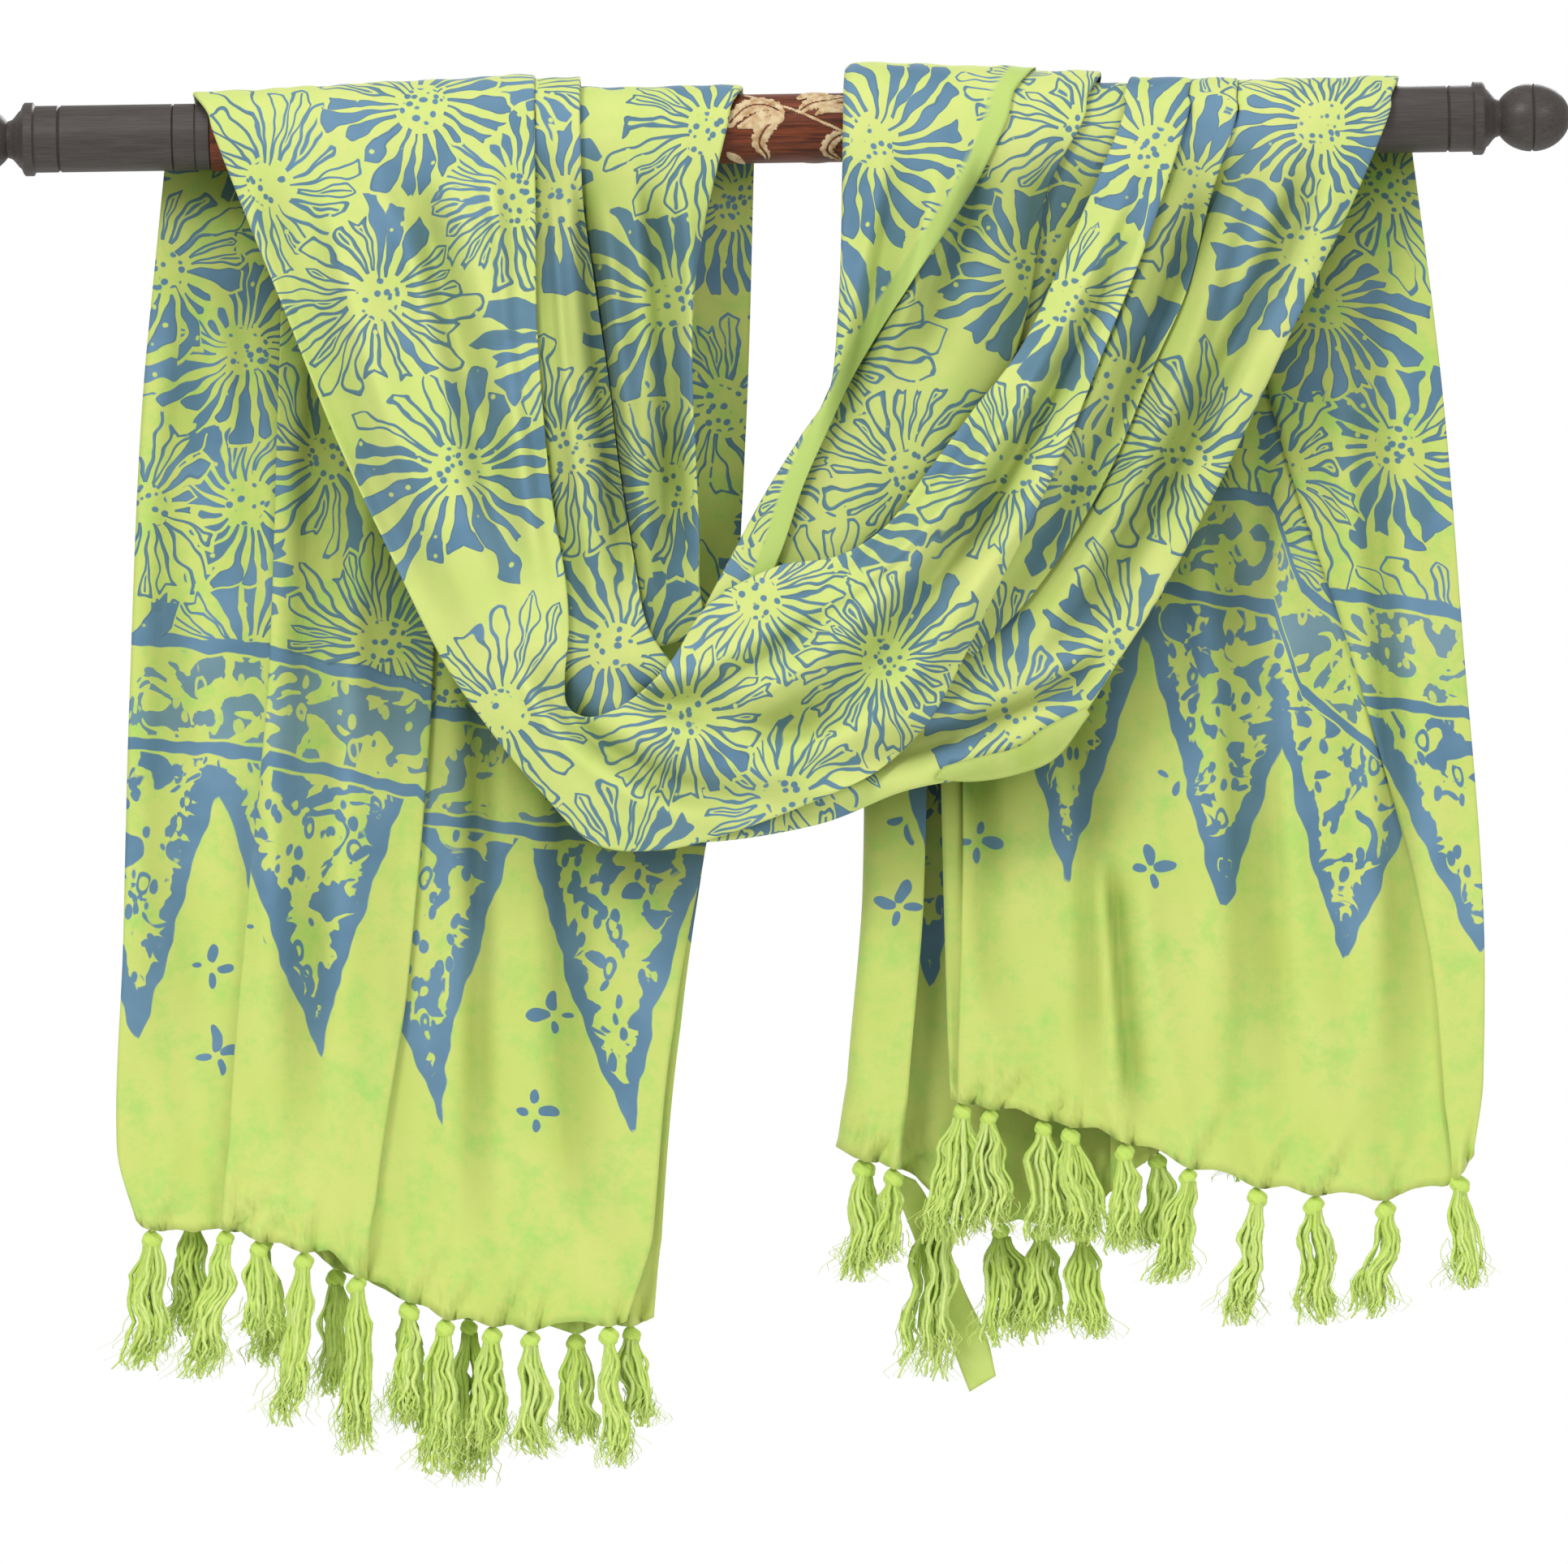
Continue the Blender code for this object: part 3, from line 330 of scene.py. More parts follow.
def through(keys, s):
    """Catmull-Rom curve through a list of rows, all columns at once; s counts rows."""
    i = min(int(s), len(keys) - 2)
    t = s - i
    p1, p2 = keys[i], keys[i + 1]
    p0 = keys[i - 1] if i > 0 else 2 * p1 - p2
    p3 = keys[i + 2] if i + 2 < len(keys) else 2 * p2 - p1
    return 0.5 * (2 * p1 + (p2 - p0) * t + (2 * p0 - 5 * p1 + 4 * p2 - p3) * t * t
                  + (3 * p1 - p0 - 3 * p2 + p3) * t ** 3)


def srgb(text, alpha=1.0):
    """A colour written as sRGB hex, turned to linear light."""
    parts = [int(text[k:k + 2], 16) / 255 for k in (0, 2, 4)]
    return (*[c / 12.92 if c <= 0.04045 else ((c + 0.055) / 1.055) ** 2.4 for c in parts], alpha)


def add_node(tree, kind, *values, out=0, **settings):
    """Adds a node; its kind may end in an operation, as in Math:ADD.

    Values fill its inputs in order, capitalised settings fill them by name.
    """
    kind, _, operation = kind.partition(":")
    node = tree.nodes.new("ShaderNode" + kind)
    if operation:
        node.operation = operation
    pairs = [(node.inputs[k], value) for k, value in enumerate(values) if value is not None]
    for name, value in settings.items():
        if name[0].isupper():
            pairs.append((node.inputs[name.replace("_", " ")], value))
        else:
            setattr(node, name, value)
    for socket, value in pairs:
        if isinstance(value, bpy.types.NodeSocket):
            tree.links.new(value, socket)
        else:
            socket.default_value = value
    return node.outputs[out] if out is not None else node


def new_material(name):
    """An empty material, and the function that adds nodes to it."""
    material = bpy.data.materials.new(name)
    material.use_nodes = True
    material.node_tree.nodes.clear()
    return material, partial(add_node, material.node_tree)


def finished(bm, name):
    """Turns a bmesh into a mesh."""
    mesh = bpy.data.meshes.new(name)
    bm.to_mesh(mesh)
    bm.free()
    return mesh


def points_of(mesh):
    """The places of a mesh's points, one row a point."""
    points = np.empty(len(mesh.vertices) * 3, np.float32)
    mesh.vertices.foreach_get("co", points)
    return points.reshape(-1, 3)


def set_points(mesh, points):
    """Carries a mesh onto points that are given in millimetres."""
    mesh.vertices.foreach_set("co", (points * MM).astype(np.float32).ravel())
    mesh.update()


def store(mesh, key, values, domain="POINT"):
    """Keeps a vector at each point or corner of a mesh, for its material to read."""
    attribute = mesh.attributes.new(key, "FLOAT_VECTOR", domain)
    attribute.data.foreach_set("vector", values.astype(np.float32).ravel())


def extruded(bm, edges, move):
    """Extrudes a ring of edges, carries the new ring along and gives its edges."""
    grown = bmesh.ops.extrude_edge_only(bm, edges=edges)["geom"]
    verts = {item for item in grown if isinstance(item, bmesh.types.BMVert)}
    bmesh.ops.translate(bm, vec=move, verts=list(verts))
    return [item for item in grown if isinstance(item, bmesh.types.BMEdge)
            and all(vert in verts for vert in item.verts)]


def new_object(name, mesh, material, node):
    """A finished piece in metres, riding on the one body and standing for its solid."""
    mesh.materials.append(material)
    obj = bpy.data.objects.new(name, mesh)
    bpy.context.scene.collection.objects.link(obj)
    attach(obj, "root")
    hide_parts(node)
    return obj


# ---- materials --------------------------------------------------------------------------------
PETALS = (17.0, 27.0)        # fewest and most petals of a stamped flower
PETAL_SHARE = (0.58, 0.92)   # share of its own slice of the flower that a petal fills
PETAL_NARROW = (9.0, 26.0)   # petals widen from half of that to all of it over these radii, mm
PETAL_SWEEP = 0.03           # how far a petal leans round with each mm outwards, in petals
PETAL_REACH = (34.0, 62.0)   # how far from the middle petals end, mm
PETAL_OVER = (-5.0, 9.0)     # how far they run past the halfway line to the next flower, mm
PETAL_ROOT = (13.5, 8.5)     # how far from the middle they begin, mm
PETAL_NOTCH = (0.8, -1.4)    # their tips run from notched to pointed
PETAL_RUN = 3.0              # outlined petals stand in runs of so many
OUTLINE = (1.2, 1.5)         # where the line of an outlined petal ends, mm in from its edge
VEIN_HALF = (0.5, 0.75)      # half the thickness of a petal's vein, mm
VEIN_SHARE = 0.4             # share of the outlined petals that have one
LOWER_GAP = (-1.7, -1.3)     # how near the lower flower comes to the upper one's petals, mm
FLOWER_HEART = 10.0   # radius of the dotted middle of a flower, mm
HEART_DOTS = 4.2      # distance between its dots, mm
SPECKS = 6.5          # distance between the small pale dots in the petals, mm
SPECK_FREE = 0.78     # share of their places that stay empty
WAVER_LENGTH = 14.0   # length over which an outline wavers, mm
WAVER_GAIN = 6.4      # it mostly strays by about a sixth of this, mm
BLOT_LENGTH = 17.0    # size of the leafy blots of the border, mm
PIPS = 8.0            # distance between its pips, mm
PIP_RINGED = 0.2      # share of the pips that are rings
BORDER_RISE = 47.0    # height of the band between the two border lines, mm
BORDER_LINE = 2.9     # half the thickness of a border line, mm
TUMPAL_DROP = 137.0   # height of a border triangle, mm
TUMPAL_HALF = 42.0    # half its width at the top, mm
TUMPAL_RIM = 8.0      # usual thickness of its dark outline, mm
SPRIG_OUT = 6.4       # how far the ovals of a loose sprig stand from its middle, mm
OVAL_LONG = 4.4       # half their length, mm
OVAL_WIDE = 2.4       # half their width, mm
CLOUDS = 55.0         # size of the soft clouds in the dye, mm
PATCHES = 24.0        # size of the greener patches towards the hems, mm
WEAVE = 1.2           # distance between two drawn threads, mm
SLUBS = (0.05, 0.05, 0.7)    # slubs to a mm, along and across the cloth
LIME = ("D6DE88", "CADA7C")  # the cloth's ground, in soft clouds
LIME_HEM = "BECD5E"          # towards the hems
LIME_PATCH = "A0D266"        # in patches there
LIME_PLAIN = "B8D072"        # where nothing is printed
BLUE = ("688CA6", "5A7F98")  # the print, in soft clouds
BLUE_OUTLINED = "5A7E8A"     # in the petals that are drawn in outline
BLUE_RIM = "48677A"          # along the edge of a petal
PAINTED_SHADE = "A6B08C"        # painted shade: what the cloth's colour is multiplied by deep in a fold


def stamped_flower(n, spot, limit, mark, swell):
    """One flower round the spot: how deep a point lies in its petals (mm), and its ink, 0 to 1.

    Petals run from the heart to their own length, or to the limit halfway to the next flower. Some
    are solid strokes, others, in runs of three, are drawn in outline.
    """
    seed = n("Math:ROUND", mark)
    outlined = n("Math:DIVIDE", n("Math:SUBTRACT", mark, seed), SHARE_STEP)
    radius = n("VectorMath:LENGTH", spot, out=1)
    x, y = n("SeparateXYZ", spot, out=None).outputs[:2]
    whole = n("TexWhiteNoise", n("CombineXYZ", seed, 7.0), noise_dimensions="2D", out=1)
    whole = n("SeparateXYZ", whole, out=None).outputs
    angle = n("Math:ARCTAN2", y, x)
    petals = n("Math:ROUND", n("MapRange", whole[2], 0.0, 1.0, *PETALS))
    pitch = n("Math:DIVIDE", math.tau, petals)
    turn = n("Math:ADD", n("Math:DIVIDE", angle, pitch), n("Math:MULTIPLY", whole[0], 6.0))
    uneven = n("Math:SINE", n("Math:MULTIPLY_ADD", angle, 5.0, n("Math:MULTIPLY", whole[0], 40.0)))
    turn = n("Math:MULTIPLY_ADD", uneven, 0.2, turn)
    swept = n("MapRange", whole[1], 0.0, 1.0, -PETAL_SWEEP, PETAL_SWEEP)
    turn = n("Math:MULTIPLY_ADD", swept, radius, turn)
    petal = n("Math:FLOORED_MODULO", n("Math:FLOOR", turn), petals)
    across = n("Math:MULTIPLY", n("Math:SUBTRACT", n("Math:FRACT", turn), 0.5), radius)
    across = n("Math:MULTIPLY", n("Math:ABSOLUTE", across), pitch)
    chance = n("TexWhiteNoise", n("CombineXYZ", petal, seed), noise_dimensions="2D", out=1)
    chance = n("SeparateXYZ", chance, out=None).outputs
    run = n("Math:FLOOR", n("Math:DIVIDE", petal, PETAL_RUN))
    run = n("CombineXYZ", run, n("Math:ADD", seed, 40.0))
    run = n("SeparateXYZ", n("TexWhiteNoise", run, noise_dimensions="2D", out=1))
    drawn = n("Math:LESS_THAN", run, outlined)
    share = n("MapRange", chance[2], 0.0, 1.0, *PETAL_SHARE)
    share = n("Math:MULTIPLY", share, n("MapRange", radius, *PETAL_NARROW, 0.5, 1.0))
    share = n("Math:MULTIPLY", share, swell)
    side = n("Math:MULTIPLY", radius, n("Math:MULTIPLY", pitch, 0.5))
    side = n("Math:SUBTRACT", n("Math:MULTIPLY", side, share), across)
    reach = n("Math:SUBTRACT", n("MapRange", chance[0], 0.0, 1.0, *PETAL_REACH), radius)
    over = n("Math:ADD", limit, n("MapRange", chance[1], 0.0, 1.0, *PETAL_OVER))
    notch = n("MapRange", chance[0], 0.0, 1.0, *PETAL_NOTCH)
    tip = n("Math:MULTIPLY_ADD", across, notch, n("Math:MINIMUM", reach, over))
    root = n("Math:SUBTRACT", radius, n("MapRange", chance[1], 0.0, 1.0, *PETAL_ROOT))
    depth = n("Math:MINIMUM", n("Math:SMOOTH_MIN", side, tip, 2.2), root)
    filled = n("MapRange", depth, -0.1, 0.2, interpolation_type="SMOOTHSTEP")
    hollow = n("MapRange", depth, *OUTLINE, interpolation_type="SMOOTHSTEP")
    vein = n("MapRange", across, *VEIN_HALF, 1.0, 0.0)
    vein = n("Math:MULTIPLY", vein, n("MapRange", depth, 2.0, 2.2))
    vein = n("Math:MULTIPLY", vein, n("Math:LESS_THAN", chance[1], VEIN_SHARE))
    hollow = n("Math:MULTIPLY", n("Math:SUBTRACT", hollow, vein, use_clamp=True), drawn)
    heart = n("MapRange", radius, FLOWER_HEART - 0.4, FLOWER_HEART + 0.2, 1.0, 0.0)
    return depth, n("Math:SUBTRACT", filled, hollow, use_clamp=True), heart, drawn


def rayon_surface(n, dye, colour, raised, strength):
    """What both rayons end in: the shade of folds and overlaps painted into the colour, a slight relief
    and a faint sheen.
    """
    # painted shade: the colour is multiplied towards a dull green by the third channel of the dye
    # attribute
    colour = n("MixRGB", dye[2], colour, srgb(PAINTED_SHADE), blend_type="MULTIPLY")
    bump = n("Bump", Strength=strength, Distance=0.0003, Height=raised)
    shader = n("BsdfPrincipled", Base_Color=colour, Roughness=0.78, Specular_IOR_Level=0.3,
               Sheen_Weight=0.15, Sheen_Roughness=0.4, Normal=bump)
    n("OutputMaterial", shader, out=None)


def batik_rayon():
    """Plain-woven rayon, dyed lime and wax-resist printed in steel blue: matt, with a faint sheen."""
    material, n = new_material("batik_printed_rayon")

    thread = n("Attribute", attribute_name="thread", out=1)
    place = n("VectorMath:SCALE", thread, Scale=1000.0)
    # the dye attribute carries the painted shade as well, in its third channel
    upper_stamp, lower_stamp, dye, sprig, border = [
        n("SeparateXYZ", n("Attribute", attribute_name=name, out=1), out=None).outputs
        for name in ("stamp_over", "stamp_under", "dye", "sprig", "border")]

    # wax runs a little: every outline wavers by about a millimetre
    waver = n("TexNoise", place, Scale=1 / WAVER_LENGTH, Detail=0.9, Roughness=0.4, out=1)
    waver = n("VectorMath:SUBTRACT", waver, (0.5, 0.5, 0.5))
    swell = n("MapRange", n("SeparateXYZ", waver, out=2), -0.16, 0.16, 0.55, 1.3)
    waver = n("VectorMath:MULTIPLY", waver, (WAVER_GAIN, WAVER_GAIN, 0.0))
    waver_xy = n("SeparateXYZ", waver, out=None).outputs
    run_place = n("VectorMath:ADD", place, waver)

    # two flowers may meet at a point: the upper one is whole, the lower one fills in round it
    spots = [n("VectorMath:ADD", n("CombineXYZ", stamp[0], stamp[1]), waver)
             for stamp in (upper_stamp, lower_stamp)]
    squares = [n("VectorMath:DOT_PRODUCT", spot, spot, out=1) for spot in spots]
    apart = n("VectorMath:LENGTH", n("VectorMath:SUBTRACT", *spots), out=1)
    limit = n("Math:DIVIDE", n("Math:SUBTRACT", squares[1], squares[0]), n("Math:MULTIPLY", apart, 2.0))
    beyond = n("Math:MULTIPLY", limit, -1.0)
    depth, over_ink, over_heart, drawn = stamped_flower(n, spots[0], limit, upper_stamp[2], swell)
    _, under_ink, under_heart, _ = stamped_flower(n, spots[1], beyond, lower_stamp[2], swell)
    under_ink = n("Math:MULTIPLY", under_ink, n("MapRange", depth, *LOWER_GAP, 1.0, 0.0))
    petals = n("Math:MAXIMUM", over_ink, under_ink)
    grain = n("TexVoronoi", run_place, Scale=1 / SPECKS, out=None)
    pick = n("Math:GREATER_THAN", n("SeparateXYZ", grain.outputs[1]), SPECK_FREE)
    speck = n("Math:MULTIPLY", n("MapRange", grain.outputs[0], 0.15, 0.21, 1.0, 0.0), pick)
    dots = n("TexVoronoi", run_place, Scale=1 / HEART_DOTS, Randomness=0.8)
    dots = n("MapRange", dots, 0.33, 0.40, 1.0, 0.0)
    heart = n("Math:MAXIMUM", over_heart, under_heart)
    flower = n("Math:MAXIMUM", n("Math:SUBTRACT", petals, speck, use_clamp=True),
               n("Math:MULTIPLY", dots, heart))
    flower = n("Math:MULTIPLY", flower, dye[0])

    # the border: two lines with leafy blots between, then triangles hanging from the lower line
    height = n("Math:ADD", border[1], waver_xy[0])
    aside = n("Math:ADD", border[0], waver_xy[1])
    field = n("MapRange", height, BORDER_RISE + 1, BORDER_RISE + 2)
    flower = n("Math:MULTIPLY", flower, field)
    level = n("Math:ABSOLUTE", height)
    upper = n("Math:ABSOLUTE", n("Math:SUBTRACT", height, BORDER_RISE))
    lines = n("MapRange", n("Math:MINIMUM", level, upper), BORDER_LINE - 0.2, BORDER_LINE + 0.2, 1.0, 0.0)
    blot = n("TexNoise", place, Scale=1 / BLOT_LENGTH, Detail=1.8, Roughness=0.5, Distortion=1.3)
    slanted = n("Mapping", run_place, Rotation=(0.0, 0.6, 0.0), Scale=(1.15, 1.0, 0.62))
    pips = n("TexVoronoi", slanted, Scale=1 / PIPS, Randomness=0.95, out=None)
    ringed = n("Math:LESS_THAN", n("SeparateXYZ", pips.outputs[1]), PIP_RINGED)
    pip = n("MapRange", pips.outputs[0], 0.26, 0.30, 1.0, 0.0)
    ring = n("Math:ABSOLUTE", n("Math:SUBTRACT", pips.outputs[0], 0.34))
    ring = n("MapRange", ring, 0.07, 0.10, 1.0, 0.0)
    pip = n("MixRGB", ringed, pip, ring)
    blots = n("MapRange", blot, 0.514, 0.519)
    broken = n("Math:ABSOLUTE", n("Math:SUBTRACT", pip, n("Math:MULTIPLY", blots, 0.9)))
    inner_top = BORDER_RISE - BORDER_LINE
    between_lines = n("Math:MULTIPLY", n("MapRange", height, BORDER_LINE + 1.2, BORDER_LINE + 1.8),
                      n("MapRange", height, inner_top - 1.8, inner_top - 1.2, 1.0, 0.0))
    band = n("Math:MAXIMUM", n("Math:MULTIPLY", n("Math:MINIMUM", blots, broken), between_lines), lines)
    half = n("MapRange", height, -TUMPAL_DROP, 0.0, 0.0, TUMPAL_HALF, clamp=False)
    edge = n("Math:SUBTRACT", half, aside)
    rim = n("Math:ADD", edge, n("MapRange", blot, 0.35, 0.65, -4.5, 4.5))
    rim = n("MapRange", rim, TUMPAL_RIM - 0.3, TUMPAL_RIM + 0.3, 1.0, 0.0)
    low = n("MapRange", height, -7.0, -7.5)
    sparse = n("MapRange", height, -75.0, -15.0, 0.62, 0.53)
    filling = n("Math:MAXIMUM", pip, n("MapRange", n("Math:SUBTRACT", blot, sparse), 0.0, 0.015))
    tumpal = n("Math:MAXIMUM", n("Math:MULTIPLY", rim, low), filling)
    tumpal = n("Math:MULTIPLY", tumpal, n("MapRange", edge, 0.0, 0.5))
    tumpal = n("Math:MULTIPLY", tumpal, n("MapRange", height, -BORDER_LINE - 1.0, -BORDER_LINE - 1.6))

    # loose sprigs of four ovals under and between the triangles
    bent = n("VectorMath:ADD", n("CombineXYZ", sprig[0], sprig[1]), waver)
    bent_x, bent_y = n("SeparateXYZ", bent, out=None).outputs[:2]
    far = n("VectorMath:LENGTH", bent, out=1)
    quarter = n("Math:MULTIPLY_ADD", n("Math:ARCTAN2", bent_y, bent_x), 4 / math.tau, 2.0)
    tilt = n("Math:SINE", n("Math:MULTIPLY", sprig[2], 2.4))
    quarter = n("Math:ADD", quarter, n("Math:MULTIPLY_ADD", tilt, 0.1, 0.5))
    lobe = n("Math:MULTIPLY", n("Math:SUBTRACT", n("Math:FRACT", quarter), 0.5), far)
    own = n("Math:FLOORED_MODULO", n("Math:FLOOR", quarter), 4.0)
    own = n("TexWhiteNoise", n("CombineXYZ", own, n("Math:ROUND", sprig[2])), noise_dimensions="2D")
    oval = n("CombineXYZ", n("Math:MULTIPLY", lobe, math.tau / 4 / OVAL_WIDE),
             n("Math:DIVIDE", n("Math:SUBTRACT", far, SPRIG_OUT), OVAL_LONG))
    oval = n("Math:ADD", n("VectorMath:LENGTH", oval, out=1), n("MapRange", own, 0.0, 1.0, 0.6, -0.25))
    oval = n("MapRange", oval, 0.92, 1.02, 1.0, 0.0)
    clear = n("Math:MULTIPLY", n("MapRange", edge, -3.0, -4.0), n("MapRange", height, -8.0, -9.0))
    loose = n("Math:MULTIPLY", n("Math:MULTIPLY", oval, clear), n("Math:GREATER_THAN", sprig[2], 0.1))

    figure = n("Math:MAXIMUM", n("Math:MAXIMUM", flower, band), n("Math:MAXIMUM", tumpal, loose),
               use_clamp=True)

    # ground and dye: soft clouds, greener towards the hems
    wash = n("TexNoise", place, Scale=1 / CLOUDS, Detail=3.0, Roughness=0.55)
    patch = n("TexNoise", place, Scale=1 / PATCHES, Detail=8.0, Roughness=0.78)
    ground = n("MixRGB", n("MapRange", wash, 0.38, 0.62), *map(srgb, LIME))
    ground = n("MixRGB", n("Math:MULTIPLY", dye[1], 0.5), ground, srgb(LIME_HEM))
    patch = n("Math:MULTIPLY", n("MapRange", patch, 0.48, 0.7), dye[1])
    ground = n("MixRGB", patch, ground, srgb(LIME_PATCH))
    ground = n("MixRGB", dye[0], srgb(LIME_PLAIN), ground)
    blue = n("MixRGB", n("MapRange", wash, 0.42, 0.58), *map(srgb, BLUE))
    drawn = n("Math:MULTIPLY", n("Math:MULTIPLY", drawn, 0.5), field)
    blue = n("MixRGB", drawn, blue, srgb(BLUE_OUTLINED))
    rim = n("Math:MULTIPLY", n("MapRange", depth, 0.25, 0.7, 1.0, 0.0), n("MapRange", depth, -0.3, 0.0))
    rim = n("Math:MULTIPLY", n("Math:MULTIPLY", rim, 0.55), field)
    blue = n("MixRGB", rim, blue, srgb(BLUE_RIM))
    colour = n("MixRGB", figure, ground, blue)

    # plain weave, drawn coarse enough to show, over slight slubs
    weave = n("VectorMath:SINE", n("VectorMath:SCALE", place, Scale=math.tau / WEAVE))
    weave = n("SeparateXYZ", weave, out=None).outputs
    cross = n("Math:MULTIPLY", n("Math:MULTIPLY", weave[0], weave[2]), 0.15)
    slub = n("TexNoise", n("VectorMath:MULTIPLY", place, SLUBS), Scale=1.0)
    rayon_surface(n, dye, colour, n("Math:ADD", cross, slub), 0.25)
    return material


def plain_rayon():
    """The plain selvedge of the same rayon, dyed but not printed: greener, matt, a little mottled."""
    material, n = new_material("plain_selvedge_rayon")
    place = n("VectorMath:SCALE", n("Attribute", attribute_name="thread", out=1), Scale=1000.0)
    wash = n("TexNoise", place, Scale=1 / 18, Detail=3.0)
    # the third channel of the dye attribute is the painted shade
    dye = n("SeparateXYZ", n("Attribute", attribute_name="dye", out=1), out=None).outputs
    colour = n("MixRGB", n("MapRange", wash, 0.35, 0.65), srgb("CCDA80"), srgb("BCD06C"))
    rayon_surface(n, dye, colour, n("TexNoise", n("VectorMath:MULTIPLY", place, SLUBS), Scale=1.0), 0.3)
    return material


def fringe_yarn():
    """Soft-spun cotton yarn, dyed with the cloth: fuzzy and dull, brighter at the frayed tips."""
    material, n = new_material("dyed_cotton_yarn")
    drop = n("SeparateXYZ", n("Attribute", attribute_name="strand", out=1), out=None).outputs
    where = n("TexCoord", out=3)
    fleck = n("TexNoise", where, Scale=420.0, Detail=2.0)
    colour = n("MixRGB", n("MapRange", drop[0], 0.1, 0.95), srgb("C4DE68"), srgb("D8EE80"))
    colour = n("MixRGB", n("MapRange", fleck, 0.45, 0.7), colour, srgb("BCDC6A"))
    colour = n("MixRGB", n("Math:MULTIPLY", drop[1], 0.45), colour, srgb("E6F2AC"))
    bump = n("Bump", Strength=0.5, Distance=0.0004, Height=n("TexNoise", where, Scale=1600.0))
    shader = n("BsdfPrincipled", Base_Color=colour, Roughness=0.92, Specular_IOR_Level=0.2,
               Sheen_Weight=0.1, Sheen_Roughness=0.5, Normal=bump)
    n("OutputMaterial", shader, out=None)
    return material


def rosewood():
    """Carved rosewood with a pale painted relief: oiled, brown-red, worn cream on the leaves."""
    material, n = new_material("oiled_rosewood")
    where = n("TexCoord", out=3)
    stretched = n("VectorMath:MULTIPLY", where, (60.0, 900.0, 900.0))
    figure = n("TexNoise", stretched, Scale=1.0, Detail=4.0, Distortion=0.6)
    brown = n("MixRGB", n("MapRange", figure, 0.35, 0.65), srgb("7C3C1E"), srgb("461C0C"))
    leaf = n("SeparateXYZ", n("Attribute", attribute_name="leaf", out=1))
    worn = n("TexNoise", where, Scale=300.0, Detail=3.0)
    cream = n("MixRGB", n("MapRange", worn, 0.4, 0.7), srgb("D9C29A"), srgb("B08A5A"))
    colour = n("MixRGB", n("MapRange", leaf, 0.35, 0.6), brown, cream)
    bump = n("Bump", Strength=0.3, Distance=0.0004, Height=figure)
    shader = n("BsdfPrincipled", Base_Color=colour, Roughness=0.42, Specular_IOR_Level=0.3, Normal=bump)
    n("OutputMaterial", shader, out=None)
    return material


def stained_wood():
    """Turned hardwood under a black-brown stain and wax: open pores, a soft satin gleam."""
    material, n = new_material("black_stained_wood")
    where = n("TexCoord", out=3)
    stretched = n("VectorMath:MULTIPLY", where, (60.0, 1300.0, 1300.0))
    pores = n("TexNoise", stretched, Scale=1.0, Detail=5.0, Roughness=0.65)
    colour = n("MixRGB", n("MapRange", pores, 0.3, 0.75), srgb("4F4946"), srgb("383230"))
    rough = n("MapRange", pores, 0.3, 0.7, 0.34, 0.48)
    bump = n("Bump", Strength=0.2, Distance=0.0002, Height=pores)
    shader = n("BsdfPrincipled", Base_Color=colour, Roughness=rough, Specular_IOR_Level=0.3, Normal=bump)
    n("OutputMaterial", shader, out=None)
    return material


# ---- creases ----------------------------------------------------------------------------------
# A soft crease: where it starts and ends on the hanging cloth, how far its middle bends aside,
# how wide and how deep it is. A negative depth is a ridge that stands towards the front.
Crease = namedtuple("Crease", "x0 z0 x1 z1 bend wide deep")
ROUND_ROD = 20.0      # radius at which the cloth's height over the rod is unrolled

SWAG_CREASES = [
    Crease(-236, 6, -146, -226, 12, 9, 3.2),
    Crease(-206, 4, -118, -252, 14, 12, -3.4),
    Crease(-186, 8, -124, -180, -8, 9, 3.4),
    Crease(-162, 6, -104, -240, 10, 9, 3.6),
    Crease(-142, 8, -108, -150, -5, 7, -2.6),
    Crease(-124, 6, -100, -215, 4, 6, 3.6),
    Crease(-103, -14, -82, -240, 3, 5, -3.2),
    Crease(-92, -4, -70, -228, 3, 5, 4.0),
    Crease(-79, -30, -60, -222, 2, 6, -3.2),
    Crease(-64, -6, -54, -210, -4, 6, 4.4),
    Crease(-46, -16, -46, -180, -4, 6, -2.8),
    Crease(-120, -226, -16, -300, 18, 9, 4.2),
    Crease(-104, -250, 30, -286, 14, 9, -3.6),
    Crease(-84, -244, 44, -256, 14, 8, 4.0),
    Crease(196, 6, 20, -292, -26, 11, 3.4),
    Crease(176, 0, 44, -236, -14, 9, -3.6),
    Crease(158, -30, 0, -276, -16, 9, 5.0),
    Crease(128, -90, -40, -288, -18, 9, 3.6),
    Crease(104, -120, -66, -276, -16, 8, -3.4),
    Crease(74, -170, -84, -262, -14, 7, 3.4),
    Crease(252, 2, 138, -226, -8, 9, -3.0),
    Crease(238, 4, 112, -246, -12, 10, 4.4),
    Crease(220, 0, 140, -170, 6, 8, -3.0),
    Crease(206, -40, 96, -262, -12, 8, 4.0),
    Crease(150, -226, 16, -276, -14, 8, 3.6),
    Crease(128, -250, -20, -300, -10, 8, -3.0),
    Crease(92, 0, 36, -130, -6, 7, 3.2),
    Crease(72, 0, 22, -150, -6, 8, -3.0),
    Crease(52, 0, 14, -160, -4, 7, 3.2),
]
